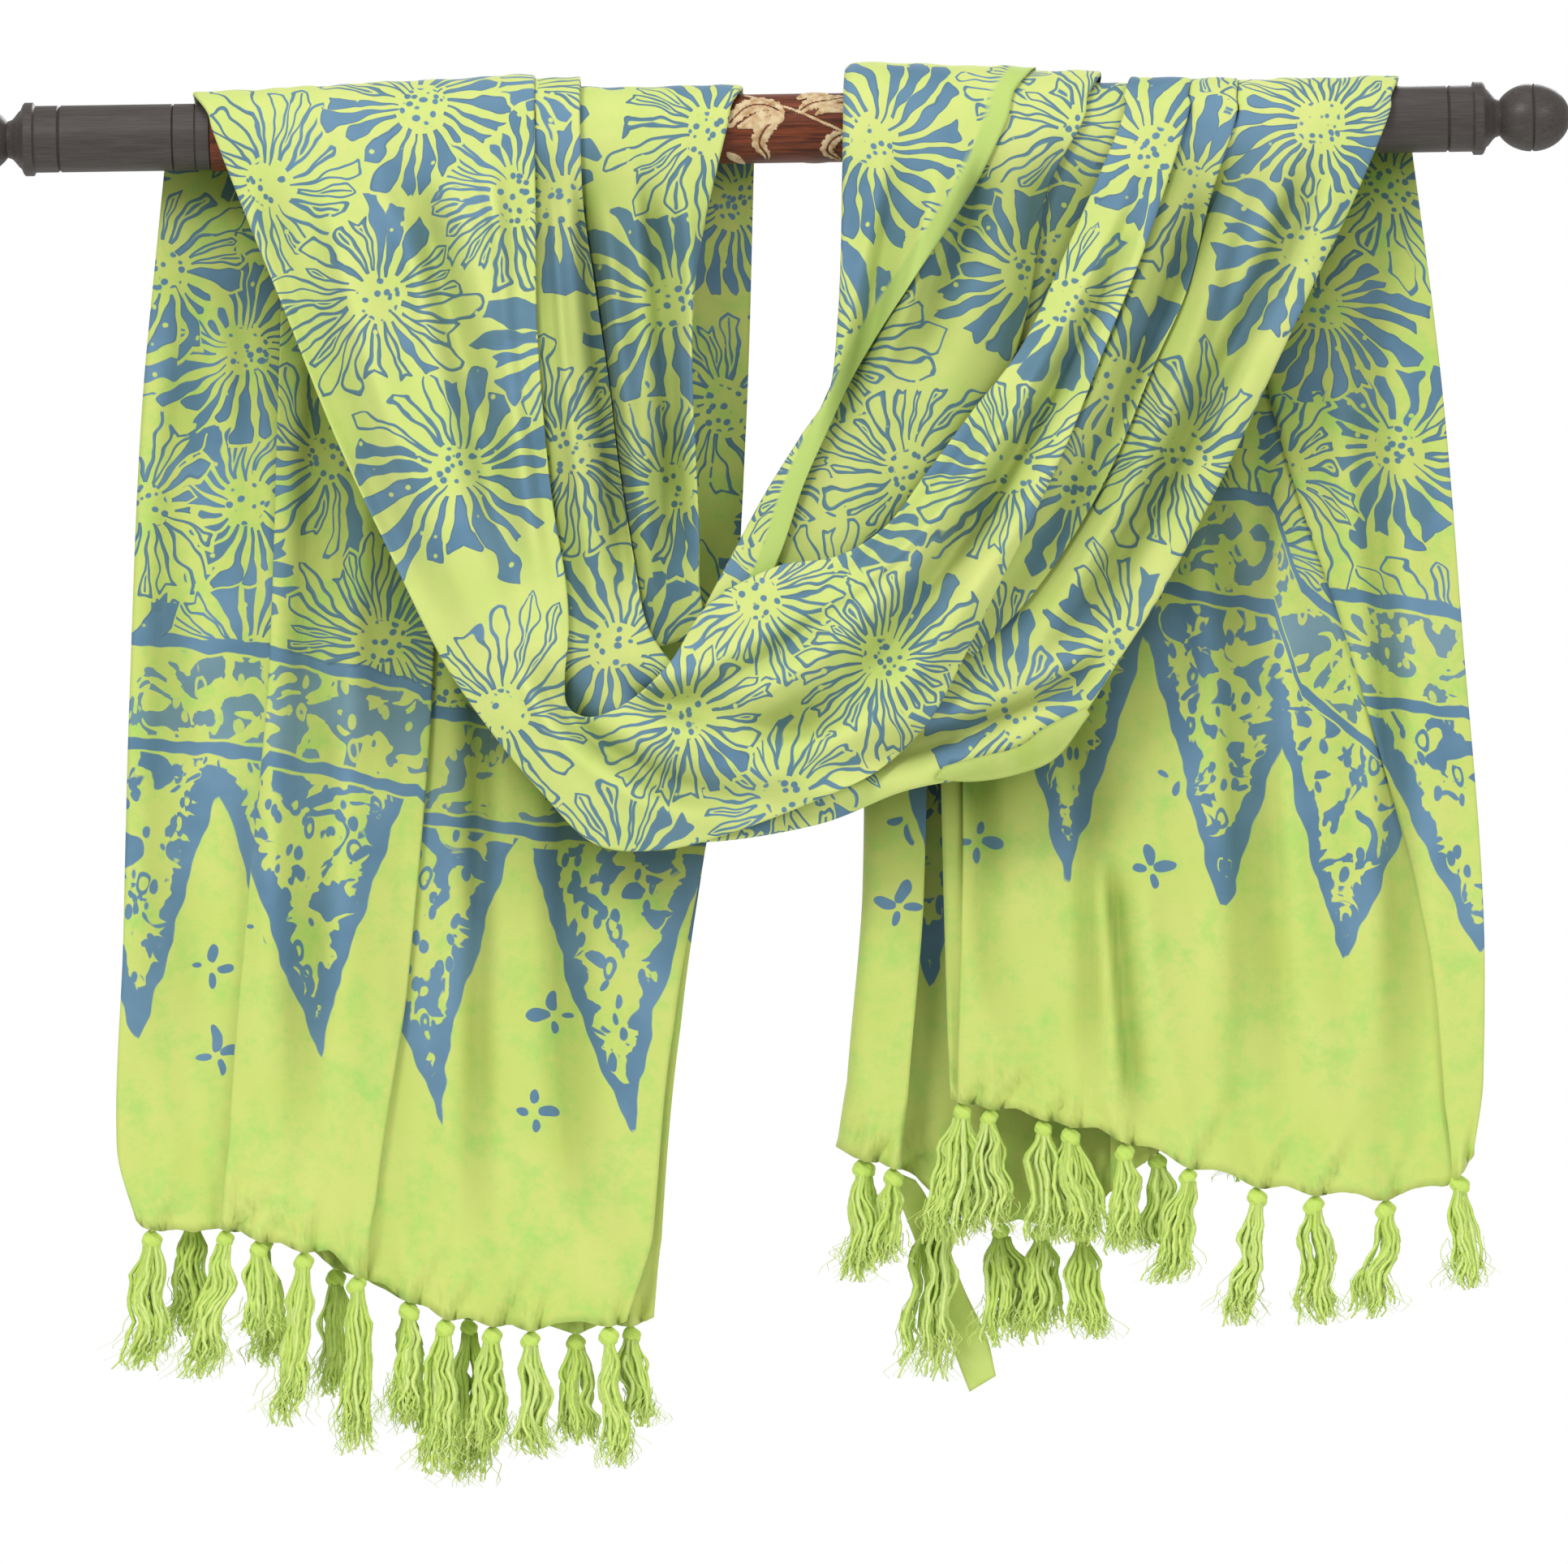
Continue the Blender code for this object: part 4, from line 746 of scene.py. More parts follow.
TAIL_CREASES = [
    Crease(-262, -30, -282, -430, 8, 10, 2.2),
    Crease(-236, -40, -246, -470, -8, 9, -2.0),
    Crease(-206, -60, -222, -480, 6, 9, 2.4),
    Crease(-176, -80, -206, -470, 8, 8, -2.0),
    Crease(-150, -120, -150, -520, -10, 11, 2.6),
    Crease(-120, -160, -128, -520, 6, 10, -2.2),
    Crease(-96, -200, -96, -520, 8, 10, 2.4),
    Crease(80, -200, 92, -430, 4, 8, 2.2),
    Crease(120, -240, 128, -440, -6, 10, 2.4),
    Crease(140, -320, 150, -456, 0, 6, 4.0),
    Crease(186, -160, 196, -460, -8, 11, 2.6),
    Crease(222, -100, 232, -470, 8, 10, -2.2),
    Crease(246, -60, 268, -470, -8, 10, 2.6),
    Crease(270, -60, 292, -440, 6, 8, -2.0),
]


CREASE_GAIN = 2.0     # every crease is this much deeper than its table says
CREASE_FADES = (0.22, 0.3)   # shares of its length over which a crease sets in and dies away
CREASE_SIDES = (0.6, 1.3)    # its steep and its easy side, as shares of its width
SHOULDER_HIGH = 0.4   # the cloth swells beside a crease by this share of its depth
SHOULDER_OUT = 1.9    # how far out it swells, as a share of the crease's width
GATHER_LENGTHS = (4.1, 17.0, 9.7)  # waves that the gathers over the rod are mixed from, mm a radian
GATHERS_END = 70.0    # how far below the rod the gathers have died away, mm
GATHERS_FADE = 80.0
CREASES_FADE = 45.0   # the swag's creases deepen over this drop below the rod, mm
TAIL_CREASES_FROM = 20.0     # the tails' creases start so far below the rod, mm
TAIL_CREASES_FADE = 90.0
SOFT_WAVES = 7        # waves that a limp cloth's soft unevenness is mixed from


def crease_field(creases, x, s):
    """How far the creases push the cloth towards the front at each point, in millimetres."""
    out = np.zeros(np.shape(x))
    for row in creases:
        run = np.array([row.x1 - row.x0, row.z1 - row.z0], float)
        length = float(np.hypot(*run))
        run /= length
        dx, ds = x - row.x0, s - row.z0
        along = (dx * run[0] + ds * run[1]) / length
        aside = dx * run[1] - ds * run[0] - row.bend * 4 * along * (1 - along)
        fade = smooth(along / CREASE_FADES[0]) * smooth((1 - along) / CREASE_FADES[1])
        wide = row.wide * (0.75 + 0.5 * np.clip(along, 0, 1)) * np.where(aside > 0, *CREASE_SIDES)
        beside = (np.abs(aside) - SHOULDER_OUT * wide) / wide
        shape = np.exp(-(aside / wide) ** 2) - SHOULDER_HIGH * np.exp(-beside ** 2)
        out -= CREASE_GAIN * row.deep * fade * shape
    return out


def soft_waves(x, s, seed, longest, height):
    """Slight waves of a limp cloth: a few sines of seeded length, lean and phase."""
    rng = np.random.default_rng(seed)
    out = np.zeros(np.shape(x))
    for _ in range(SOFT_WAVES):
        length = longest * rng.uniform(0.25, 1.0)
        lean = rng.uniform(-0.35, 0.35)
        phase = rng.uniform(0, math.tau)
        stretch = rng.uniform(0.05, 0.22)
        out += np.sin((x * math.cos(lean) + s * math.sin(lean)) / length * math.tau + phase
                      + np.sin(s * stretch / longest * math.tau + phase)) * length / longest
    return out * height / 3


def swag_push(x, s):
    """Push of the swag's stretches, all layers alike: gathers over the rod, creases below it."""
    short, drift, long = (x / length for length in GATHER_LENGTHS)
    gathers = 0.55 + 0.5 * np.sin(short + 1.3 * np.sin(drift)) * np.sin(long + 0.8)
    over = gathers * smooth((s + GATHERS_END) / GATHERS_FADE)
    waves = soft_waves(x, s, seed=4, longest=46.0, height=1.3)
    return over + smooth(-s / CREASES_FADE) * (crease_field(SWAG_CREASES, x, s) + waves)


def tail_push(x, z):
    """Push of the tails' layers, all alike, from nothing at the rod."""
    hang = smooth((-z - TAIL_CREASES_FROM) / TAIL_CREASES_FADE)
    waves = soft_waves(x, z, seed=9, longest=60.0, height=1.6)
    return hang * (crease_field(TAIL_CREASES, x, z) + waves)


# ---- print ------------------------------------------------------------------------------------
STAMP_NET = 70.0      # usual distance between two stamped flowers, mm
SPRIG_NET = 40.0      # usual distance between two loose sprigs, mm
NET_ROW = 0.87        # distance between the rows of a net, in nets
NET_LOOSE = 0.12      # how far a stamp can stray from its place in it
NET_LEAST = 0.76      # stamps stand at least this far apart
SHARE_STEP = 0.4      # a stamp's mark is a whole number and this much of its share of outlined petals
PIECE_MARKS = 60.0    # the marks of each piece of cloth count on from so many times its number
NO_BORDER = (200.0, 400.0, 0.0)  # a place that is far from every border: aside, above it
THREAD_SHIFT = (0.61, 0.0, 0.43)  # each piece takes its dye and weave from so much further on, m


def stamp_centres(chart, fixed, net, rng):
    """Middles of the stamps on the flat cloth: those given, then a loose net over the rest."""
    spots = [np.array(spot, float) for spot in fixed]
    low, high = chart.reshape(-1, 2).min(0) - net, chart.reshape(-1, 2).max(0) + net
    rows = int((high[1] - low[1]) / (net * NET_ROW)) + 2
    columns = int((high[0] - low[0]) / net) + 2
    for j in range(rows):
        for i in range(columns):
            spot = low + np.array([(i + 0.5 * (j % 2)) * net, j * net * NET_ROW])
            spot = spot + rng.uniform(-NET_LOOSE, NET_LOOSE, 2) * net
            if all(np.hypot(*(spot - other)) > NET_LEAST * net for other in spots):
                spots.append(spot)
    return np.array(spots)


def nearest_stamps(middles, centres, count):
    """The nearest few stamps to the middle of each face, the first laid of them first."""
    offsets = middles[:, None, :] - centres[None]
    return np.sort(np.argsort(np.hypot(offsets[..., 0], offsets[..., 1]), axis=1)[:, :count], axis=1)


def printed(mesh, i, j, chart, fixed, seed, figure=None, border=None, sprigs=(), cloud=0.25, shade=0.0):
    """Fills the attributes that the print and its painted shade are drawn from. Stamps are set face by
    face.
    """
    rng = np.random.default_rng(seed)
    flat = chart[j, i]
    corners = np.empty(len(mesh.loops), np.int32)
    mesh.loops.foreach_get("vertex_index", corners)
    corner_flat = flat[corners].reshape(-1, 4, 2)
    middles = corner_flat.mean(1)

    def framed(centres, which, last):
        """Each face's corners as seen from its own stamp, and that stamp's mark."""
        last = np.broadcast_to(last[:, None], corner_flat.shape[:2])
        return np.concatenate([corner_flat - centres[which][:, None], last[..., None]], -1)

    centres = stamp_centres(chart, [spot[:2] for spot in fixed], STAMP_NET, rng)
    drawn = [spot[2] for spot in fixed] + list(rng.uniform(0.1, 0.9, len(centres) - len(fixed)))
    marks = np.arange(len(centres)) + PIECE_MARKS * seed + SHARE_STEP * np.array(drawn)
    pair = nearest_stamps(middles, centres, 2)
    store(mesh, "stamp_over", framed(centres, pair[:, 0], marks[pair[:, 0]]), "CORNER")
    store(mesh, "stamp_under", framed(centres, pair[:, 1], marks[pair[:, 1]]), "CORNER")
    centres = stamp_centres(chart, sprigs, SPRIG_NET, rng)
    which = nearest_stamps(middles, centres, 1)[:, 0]
    kept = (which < len(sprigs)) * (which + 1.0)
    store(mesh, "sprig", framed(centres, which, kept), "CORNER")
    ones = np.ones(chart.shape[:2])
    figure = ones if figure is None else figure
    # third channel: painted shade, how far the cloth's colour is darkened in folds, under overlaps and
    # under the rod
    dye = np.stack([figure, ones * cloud, np.clip(ones * shade, 0.0, 1.0)], -1)
    store(mesh, "dye", dye[j, i])
    if border is None:
        border = np.ones((*chart.shape[:2], 1)) * NO_BORDER
    store(mesh, "border", border[j, i])
    thread = np.stack([flat[:, 0] * MM, flat[:, 0] * 0.0, flat[:, 1] * MM], -1)
    store(mesh, "thread", thread + np.array(THREAD_SHIFT) * seed)


# ---- cloth ------------------------------------------------------------------------------------
SHEET = 0.45          # thickness of the cloth with its nap, mm
HEM_ROLL = 1.5        # thickness of the rolled hem, mm


def cloth_mesh(name, points):
    """A grid carried onto rows of points, facing the front; also each vertex's column and row."""
    rows, columns = points.shape[:2]
    bm = bmesh.new()
    bmesh.ops.create_grid(bm, x_segments=columns - 1, y_segments=rows - 1, size=1.0)
    mesh = finished(bm, name)
    flat = points_of(mesh)
    i = np.rint((flat[:, 0] + 1) / 2 * (columns - 1)).astype(int)
    j = np.rint((flat[:, 1] + 1) / 2 * (rows - 1)).astype(int)
    set_points(mesh, points[j, i])
    if grid_facing(points) > 0:
        mesh.flip_normals()
    mesh.shade_smooth()
    return mesh, i, j


def grid_facing(points):
    """Which way the grid's own faces look: the mean depth of its normals below the rod."""
    across = points[:-1, 1:] - points[:-1, :-1]
    down = points[1:, :-1] - points[:-1, :-1]
    normal = np.cross(across, down)
    hanging = points[:-1, :-1, 2] < 0
    return float(normal[..., 1][hanging].sum())


def add_wall(obj, offset, thickness, group=None, share=None):
    """Thickens a cloth to a closed wall; outside of the group it keeps only a share of it."""
    wall = obj.modifiers.new("sheet", "SOLIDIFY")
    wall.thickness = thickness * MM
    wall.offset = offset
    if group:
        wall.vertex_group = group
        wall.thickness_vertex_group = share


# ---- hanging bands of the swag ----------------------------------------------------------------
SADDLE_ANGLES = (180, 150, 120, 90, 60, 30)
SLACK_DROP = 100.0    # the rolled edges open out over this drop below the rod
ROW_STEP = 2.6        # spacing of the fine rows, mm
COLUMN_STEP = 2.4     # and of their points, mm
ROLL_STEPS = 8        # faces round a rolled edge


def hanging_key(row):
    """A row of a table as numbers: both edges, form, and the places of the edges on the flat cloth."""
    slack = smooth(-max(row.z_out, row.z_in) / SLACK_DROP)
    return np.array([row.x_out, row.y_out, row.z_out, row.x_in, row.y_in, row.z_in, 0.0, row.crown,
                     row.trough, slack, row.x_out, row.z_out, row.x_in, row.z_in])


def saddle_keys(over, contact):
    """Rows from behind the rod over its top, down to the contact row in front of it."""
    keys = []
    for angle in SADDLE_ANGLES:
        phi = math.radians(angle)
        front = max(0.0, 1 - angle / 90)
        back = max(0.0, angle / 90 - 1)
        key, flat = [], []
        for x, height, depth, x_front, y_front in (
                (over.x_out, over.h_out, over.back_out, contact.x_out, contact.y_out),
                (over.x_in, over.h_in, over.back_in, contact.x_in, contact.y_in)):
            top = ROD_RADIUS + height
            radius = between(between(top, depth, back), -y_front, front)
            x_here = between(x, x_front, smooth(front))
            key += [x_here, -radius * math.cos(phi), radius * math.sin(phi)]
            flat += [x_here, radius * phi]
        keys.append(np.array(key + [phi, 0.0, 0.0, 0.0] + flat))
    return keys


def rolled_edge(edge, outward, inward, spot, away, curl):
    """Points round a rolled edge to its hidden end, and their places on the flat cloth."""
    turn = math.radians(curl.turn)
    a = np.linspace(0.0, turn, ROLL_STEPS + 1)[:, None]
    centre = edge + (inward - outward) * curl.radius
    points = centre + (outward * np.sin(a) - inward * np.cos(a)) * curl.radius
    flat = spot + away * curl.radius * (a - 1.0)
    last = outward * math.cos(turn) + inward * math.sin(turn)
    runs = np.linspace(0.0, curl.run, ROLL_STEPS // 2 + 1)[1:, None]
    points = np.concatenate([points, points[-1] + last * runs])
    flat = np.concatenate([flat, flat[-1] + away * runs])
    return points, flat


def mixed_curl(pair, slack):
    """An edge first turns right under, then its hidden run lengthens."""
    on_rod, hanging = pair
    return Curl(between(on_rod.radius, hanging.radius, slack),
                between(on_rod.turn, hanging.turn, min(1.0, 2 * slack)),
                between(on_rod.run, hanging.run, max(0.0, 2 * slack - 1)))


def band_section(key, flat_steps, outer_curl=None, inner_curl=None):
    """One line across a band, hidden end to hidden end: points, flat places, distances to edges."""
    outer, inner, spot_out, spot_in = key[0:3], key[3:6], key[10:12], key[12:14]
    phi, crown, trough, slack = key[6:10]
    inward = np.array([0.0, math.cos(phi), -math.sin(phi)])
    outward = (outer - inner) / np.linalg.norm(outer - inner)
    away = (spot_out - spot_in) / max(np.linalg.norm(spot_out - spot_in), 0.01)
    left, flat_left = outer[None], spot_out[None]
    right, flat_right = inner[None], spot_in[None]
    if outer_curl:
        curl = mixed_curl(outer_curl, slack)
        left, flat_left = rolled_edge(outer, outward, inward, spot_out, away, curl)
    if inner_curl:
        curl = mixed_curl(inner_curl, slack)
        right, flat_right = rolled_edge(inner, -outward, inward, spot_in, -away, curl)
    t = np.linspace(0.0, 1.0, flat_steps + 1)[1:-1, None]
    proud = crown * 4 * t * (1 - t) - trough * np.exp(-((t - TROUGH_AT) / TROUGH_WIDE) ** 2)
    middle = between(left[0], right[0], t) - inward * proud
    flat_middle = between(flat_left[0], flat_right[0], t)
    points = np.concatenate([left[::-1], middle, right])
    chart = np.concatenate([flat_left[::-1], flat_middle, flat_right])
    from_outer = (chart - spot_out) @ -away
    from_inner = (chart - spot_in) @ away
    return points, chart, from_outer, from_inner, np.full(len(points), phi)


def band_rows(keys):
    """Stations along a band, about ROW_STEP apart."""
    stations = []
    for k in range(len(keys) - 1):
        reach = max(np.linalg.norm(keys[k + 1][0:3] - keys[k][0:3]),
                    np.linalg.norm(keys[k + 1][3:6] - keys[k][3:6]))
        count = max(1, int(round(reach / ROW_STEP)))
        stations += [through(keys, k + n / count) for n in range(count)]
    return stations + [keys[-1]]


def band(keys, outer_curl, inner_curl):
    """The fine form of one hanging band: points, flat chart and distances to its edges."""
    widest = max(np.linalg.norm(key[0:3] - key[3:6]) for key in keys)
    flat_steps = max(4, int(round(widest / COLUMN_STEP)))
    parts = [band_section(key, flat_steps, outer_curl, inner_curl) for key in band_rows(keys)]
    points, chart, from_outer, from_inner, phi = (np.stack(column) for column in zip(*parts))
    s = np.where(phi > 0.01, ROUND_ROD * phi, points[..., 2])
    push = swag_push(points[..., 0], s)
    angle = np.clip(phi, 0.0, math.pi)
    points = points + np.stack([push * 0, -np.cos(angle) * push, np.sin(angle) * push], -1)
    return points, chart, from_outer, from_inner


# Where flowers are stamped, and the share of each one's petals that is drawn in outline.
FLOWERS = {
    "swag_front_band": [(-160, 12, 0.15), (-180, -74, 0.55), (-145, -150, 0.1), (-128, -258, 0.95),
                        (-47, -261, 0.5), (41, -237, 0.9), (98, -154, 0.75), (163, -13, 0.2),
                        (124, -80, 0.6), (-4, -296, 0.95), (-229, -23, 0.95), (-118, -31, 0.5),
                        (-78, -330, 0.95), (-15, -209, 0.85)],
    "swag_left_pleat": [(-100, -32, 0.2), (-98, -143, 0.9), (-78, -230, 0.5)],
    "swag_left_inner": [(-33, -4, 0.9), (-50, -79, 0.0), (-51, -158, 0.6)],
    "swag_right_panel": [(39, -8, 0.0), (32, -98, 0.9), (13, -159, 0.9)],
    "swag_right_fold": [(108, -68, 0.05), (53, -153, 0.95), (133, -6, 0.8)],
    "swag_right_recess": [(120, -60, 0.3)],
    "swag_right_step": [(179, -30, 0.1), (147, -115, 0.1), (129, -161, 0.6)],
    "swag_outer_band": [(237, -3, 0.6), (229, -58, 0.1), (174, -147, 0.8), (149, -233, 0.2),
                        (98, -261, 0.6)],
}


# How a stretch of the swag lies under its neighbours: where the soft shade starts from its outer and
# its inner edge, as reach in mm (0 where nothing lies over that edge), shade all over and in creases.
Under = namedtuple("Under", "outer inner all_over creases")
UNDER = {
    "swag_front_band": Under(0.0, 0.0, 0.0, 0.5), "swag_left_pleat": Under(9.0, 0.0, 0.1, 1.2),
    "swag_left_inner": Under(12.0, 0.0, 0.12, 1.2), "swag_right_panel": Under(0.0, 0.0, 0.06, 1.0),
    "swag_right_fold": Under(12.0, 8.0, 0.08, 1.0), "swag_right_recess": Under(0.0, 0.0, 0.7, 1.0),
    "swag_right_step": Under(0.0, 10.0, 0.08, 1.2), "swag_outer_band": Under(0.0, 13.0, 0.08, 1.2),
}
HIDDEN_EDGE = 6.0     # how much of an overlapped edge is out of sight, mm
EDGE_SHADE = 0.85     # the shade right under an overlap
FULL_VALLEY = 18.0    # a crease this deep would be in full shade, mm
VALLEY_SHADE = 0.35   # but no crease gets more than this
UNSHADED_DROP = 30.0  # the shade sets in over this drop below the rod, mm
SELVEDGE_WIDE = 9.0   # the unprinted edge of the cloth, mm
SELVEDGE_SOFT = 2.0   # and how softly the print sets in


def edge_shade(distance, reach):
    """Shade under the neighbour that lies over an edge."""
    if not reach:
        return 0.0 * distance
    return EDGE_SHADE * np.exp(-np.maximum(distance - HIDDEN_EDGE, 0.0) / reach)


def fold_shade(push):
    """Shade in the valleys of the creases."""
    return np.clip(-push / FULL_VALLEY, 0.0, VALLEY_SHADE)


def near_line(rows, x, z):
    """Distance to the outer edge of a hanging band."""
    line = [np.array([row.x_out, row.z_out], float) for row in rows]
    points = np.array([between(a, b, t) for a, b in zip(line, line[1:]) for t in np.linspace(0, 1, 8)])
    return np.min(np.hypot(x[..., None] - points[:, 0], z[..., None] - points[:, 1]), axis=-1)


def swag(fabric, plain):
    """The gathered middle of the cloth, stretch by stretch, and its turned-over selvedge."""
    rolled = (ROLL_ON_ROD, ROLL_HANGING)
    stepped = (STEP_ON_ROD, TURN_HANGING)
    front = saddle_keys(FRONT_BAND_LEFT, FRONT_BAND[0]) + [hanging_key(row) for row in FRONT_BAND]
    front += saddle_keys(FRONT_BAND_RIGHT, FRONT_BAND[-1])[::-1]
    arms = [("swag_front_band", front, rolled, (ROLL_ON_ROD, ROLL_INSIDE))]
    for name, table, over, outer, inner in (
            ("swag_left_pleat", LEFT_PLEAT, LEFT_PLEAT_OVER, None, stepped),
            ("swag_left_inner", LEFT_INNER, LEFT_INNER_OVER, None, rolled),
            ("swag_right_panel", RIGHT_PANEL, RIGHT_PANEL_OVER, (FAT_ON_ROD, FAT_HANGING), None),
            ("swag_right_fold", RIGHT_FOLD, RIGHT_FOLD_OVER, stepped, None),
            ("swag_right_recess", RIGHT_RECESS, RIGHT_RECESS_OVER, None, None),
            ("swag_right_step", RIGHT_STEP, RIGHT_STEP_OVER, stepped, None),
            ("swag_outer_band", OUTER_BAND, OUTER_BAND_OVER, rolled, None)):
        keys = saddle_keys(over, table[0]) + [hanging_key(row) for row in table]
        arms.append((name, keys, outer, inner))
    for seed, (name, keys, outer, inner) in enumerate(arms, start=1):
        points, chart, from_outer, from_inner = band(keys, outer, inner)
        has_selvedge = name == "swag_right_panel"
        figure = smooth((from_inner - SELVEDGE_WIDE) / SELVEDGE_SOFT) if has_selvedge else None
        mesh, i, j = cloth_mesh(name + "_cloth", points)
        under = UNDER[name]
        # painted shade: the colour is darkened under overlapping stretches, in crease valleys and all
        # over the recessed ones, fading in below the rod
        shade = under.all_over + edge_shade(from_outer, under.outer) + edge_shade(from_inner, under.inner)
        shade = shade + under.creases * fold_shade(swag_push(points[..., 0], points[..., 2]))
        shade = shade * smooth(-points[..., 2] / UNSHADED_DROP)
        printed(mesh, i, j, chart, FLOWERS[name], seed, figure, shade=shade)
        obj = new_object(name + "_cloth", mesh, fabric, name)
        add_wall(obj, -1.0, SHEET)
    keys = [hanging_key(row) for row in SELVEDGE_TURN]
    points, chart, _, _ = band(keys, (TURN_HANGING, TURN_HANGING), None)
    mesh, i, j = cloth_mesh("selvedge_turn_cloth", points)
    # painted shade all over the turned selvedge
    printed(mesh, i, j, chart, [], 21, shade=0.35)
    obj = new_object("selvedge_turn_cloth", mesh, plain, "selvedge_turn")
    add_wall(obj, -1.0, SHEET)


# ---- tails ------------------------------------------------------------------------------------
TAIL_ROW_STEP = 4.6   # spacing of a tail's rows, mm
TAIL_COLUMN_STEP = 2.5
FOLD_TURN_STEPS = 7   # faces round a fold


def line_at(table, x):
    """Height of a hem at x, straight between the table's points."""
    return np.interp(x, [p[0] for p in table], [p[1] for p in table])


def fold_x(fold, v):
    """Where a fold line runs at a share of its drop."""
    for k in range(len(FRACTIONS) - 1):
        if v <= FRACTIONS[k + 1]:
            t = (v - FRACTIONS[k]) / (FRACTIONS[k + 1] - FRACTIONS[k])
            return through([np.array([x], float) for x in fold[:6]], k + t)[0]
    return fold.x_hem


def tail_depth(x, y, v, fall):
    """Depth of a layer: the layers part on the way down and share one soft sway."""
    sway = np.sin(x / WAVE_SHORT + 0.9) * 0.7 + np.sin(x / WAVE_LONG) * 0.6
    return y + (y - FRONT_LAYER) * LAYER_SPREAD * v + fall * v + SWAY * v * sway


def tail_section(folds, counts, v):
    """Plan of a folded tail at one level: x and depth at the rod, and the length along it."""
    xs = [fold_x(fold, v) for fold in folds]
    points = []
    for k, count in enumerate(counts):
        here, there = folds[k], folds[k + 1]
        sign = 1 if there.x_half > here.x_half else -1
        r_here = abs(here.y_after - here.y_before) / 2
        r_there = abs(there.y_after - there.y_before) / 2
        start, end = xs[k] + sign * r_here, xs[k + 1] - sign * r_there
        for m in range(0 if k == 0 else 1, count + 1):
            t = m / count
            points.append((between(start, end, t), between(here.y_after, there.y_before, t)))
        if k + 1 < len(counts):
            middle = (there.y_before + there.y_after) / 2
            half = (there.y_before - there.y_after) / 2
            for m in range(1, FOLD_TURN_STEPS + 1):
                a = math.pi * m / FOLD_TURN_STEPS
                points.append((end + sign * r_there * math.sin(a), middle + half * math.cos(a)))
    return np.array(points)


def fine_counts(folds):
    """Columns between one fold line and the next."""
    counts = []
    for here, there in zip(folds, folds[1:]):
        counts.append(max(3, int(round(abs(there.x_half - here.x_half) / TAIL_COLUMN_STEP))))
    return counts


def hem_line(tail):
    """The hem, from fold to fold: x, depth and height."""
    x, y = tail_section(tail.folds, fine_counts(tail.folds), 1.0).T
    return np.stack([x, tail_depth(x, y, 1.0, tail.fall), line_at(tail.hem, x)], -1)


SCALLOP = 3.0         # how far the hem rises between two ties, mm
SCALLOP_HALF = 14.0   # half the distance between ties at which it rises that far, mm
SCALLOP_REACH = 30.0  # how far up the cloth that is felt, mm
PUCKER_REACH = 26.0   # how far up the cloth a tie's puckers run, mm
PUCKER_WIDE = 9.0     # how far aside of it they spread, mm
PUCKER_LENGTH = 6.5   # distance from one to the next, mm
PUCKER_DEEP = 1.1
TIE_CREASES = 3       # longer creases that run up from each tie
TIE_LEAN = 0.8        # how far they lean aside with each mm up
TIE_REACH = (20.0, 58.0)     # how far up they run, mm
TIE_DEEP = (1.6, 3.6)


def tail_form(tail):
    """The fine form of one tail: points and flat chart."""
    counts = fine_counts(tail.folds)
    low = hem_line(tail)
    ties = [tie.x for tie in tail.ties]
    rows = int(round((TAIL_TOP - low[:, 2].mean()) / TAIL_ROW_STEP))
    levels = np.linspace(0.0, 1.0, rows + 1)
    points, chart = [], []
    for v in levels:
        plan = tail_section(tail.folds, counts, v)
        steps = np.hypot(*(plan[1:] - plan[:-1]).T)
        along = plan[0, 0] + np.concatenate([[0.0], np.cumsum(steps)])
        z = between(TAIL_TOP, low[:, 2], v)
        points.append(np.stack([plan[:, 0], tail_depth(plan[:, 0], plan[:, 1], v, tail.fall), z], -1))
        chart.append(np.stack([along, z], -1))
    points, chart = np.stack(points), np.stack(chart)
    points[..., 1] -= tail_push(points[..., 0], points[..., 2])
    # the hem rises a little between ties, and puckers above each
    above = points[..., 2] - points[-1, :, 2]
    near = np.min(np.abs(points[-1, :, 0][:, None] - np.array(ties)[None]), axis=1)
    points[..., 2] += SCALLOP * smooth(near / SCALLOP_HALF)[None] * smooth(1 - above / SCALLOP_REACH)
    fade = smooth(1 - above / PUCKER_REACH)
    pucker = np.exp(-(near / PUCKER_WIDE) ** 2) * np.cos(near * math.tau / PUCKER_LENGTH)
    points[..., 1] -= PUCKER_DEEP * pucker[None] * fade
    rng = np.random.default_rng(len(ties))
    for x in ties:
        for _ in range(TIE_CREASES):
            lean = rng.uniform(-TIE_LEAN, TIE_LEAN)
            reach, deep = rng.uniform(*TIE_REACH), rng.uniform(*TIE_DEEP)
            aside = (points[..., 0] - x - lean * above) / (2.2 + 0.05 * above)
            shape = np.exp(-aside ** 2) - 0.5 * np.exp(-(aside - 1.6) ** 2)
            points[..., 1] -= deep * shape * smooth(1 - above / reach)
    return points, chart


def on_chart(points, chart, x, z):
    """The flat place of the foremost layer at (x, z)."""
    away = np.hypot(points[..., 0] - x, points[..., 2] - z)
    depth = np.where(away < 6.0, points[..., 1], 999.0) + away * 0.01
    j, i = np.unravel_index(np.argmin(depth), depth.shape)
    return chart[j, i] + np.array([x - points[j, i, 0], z - points[j, i, 2]])


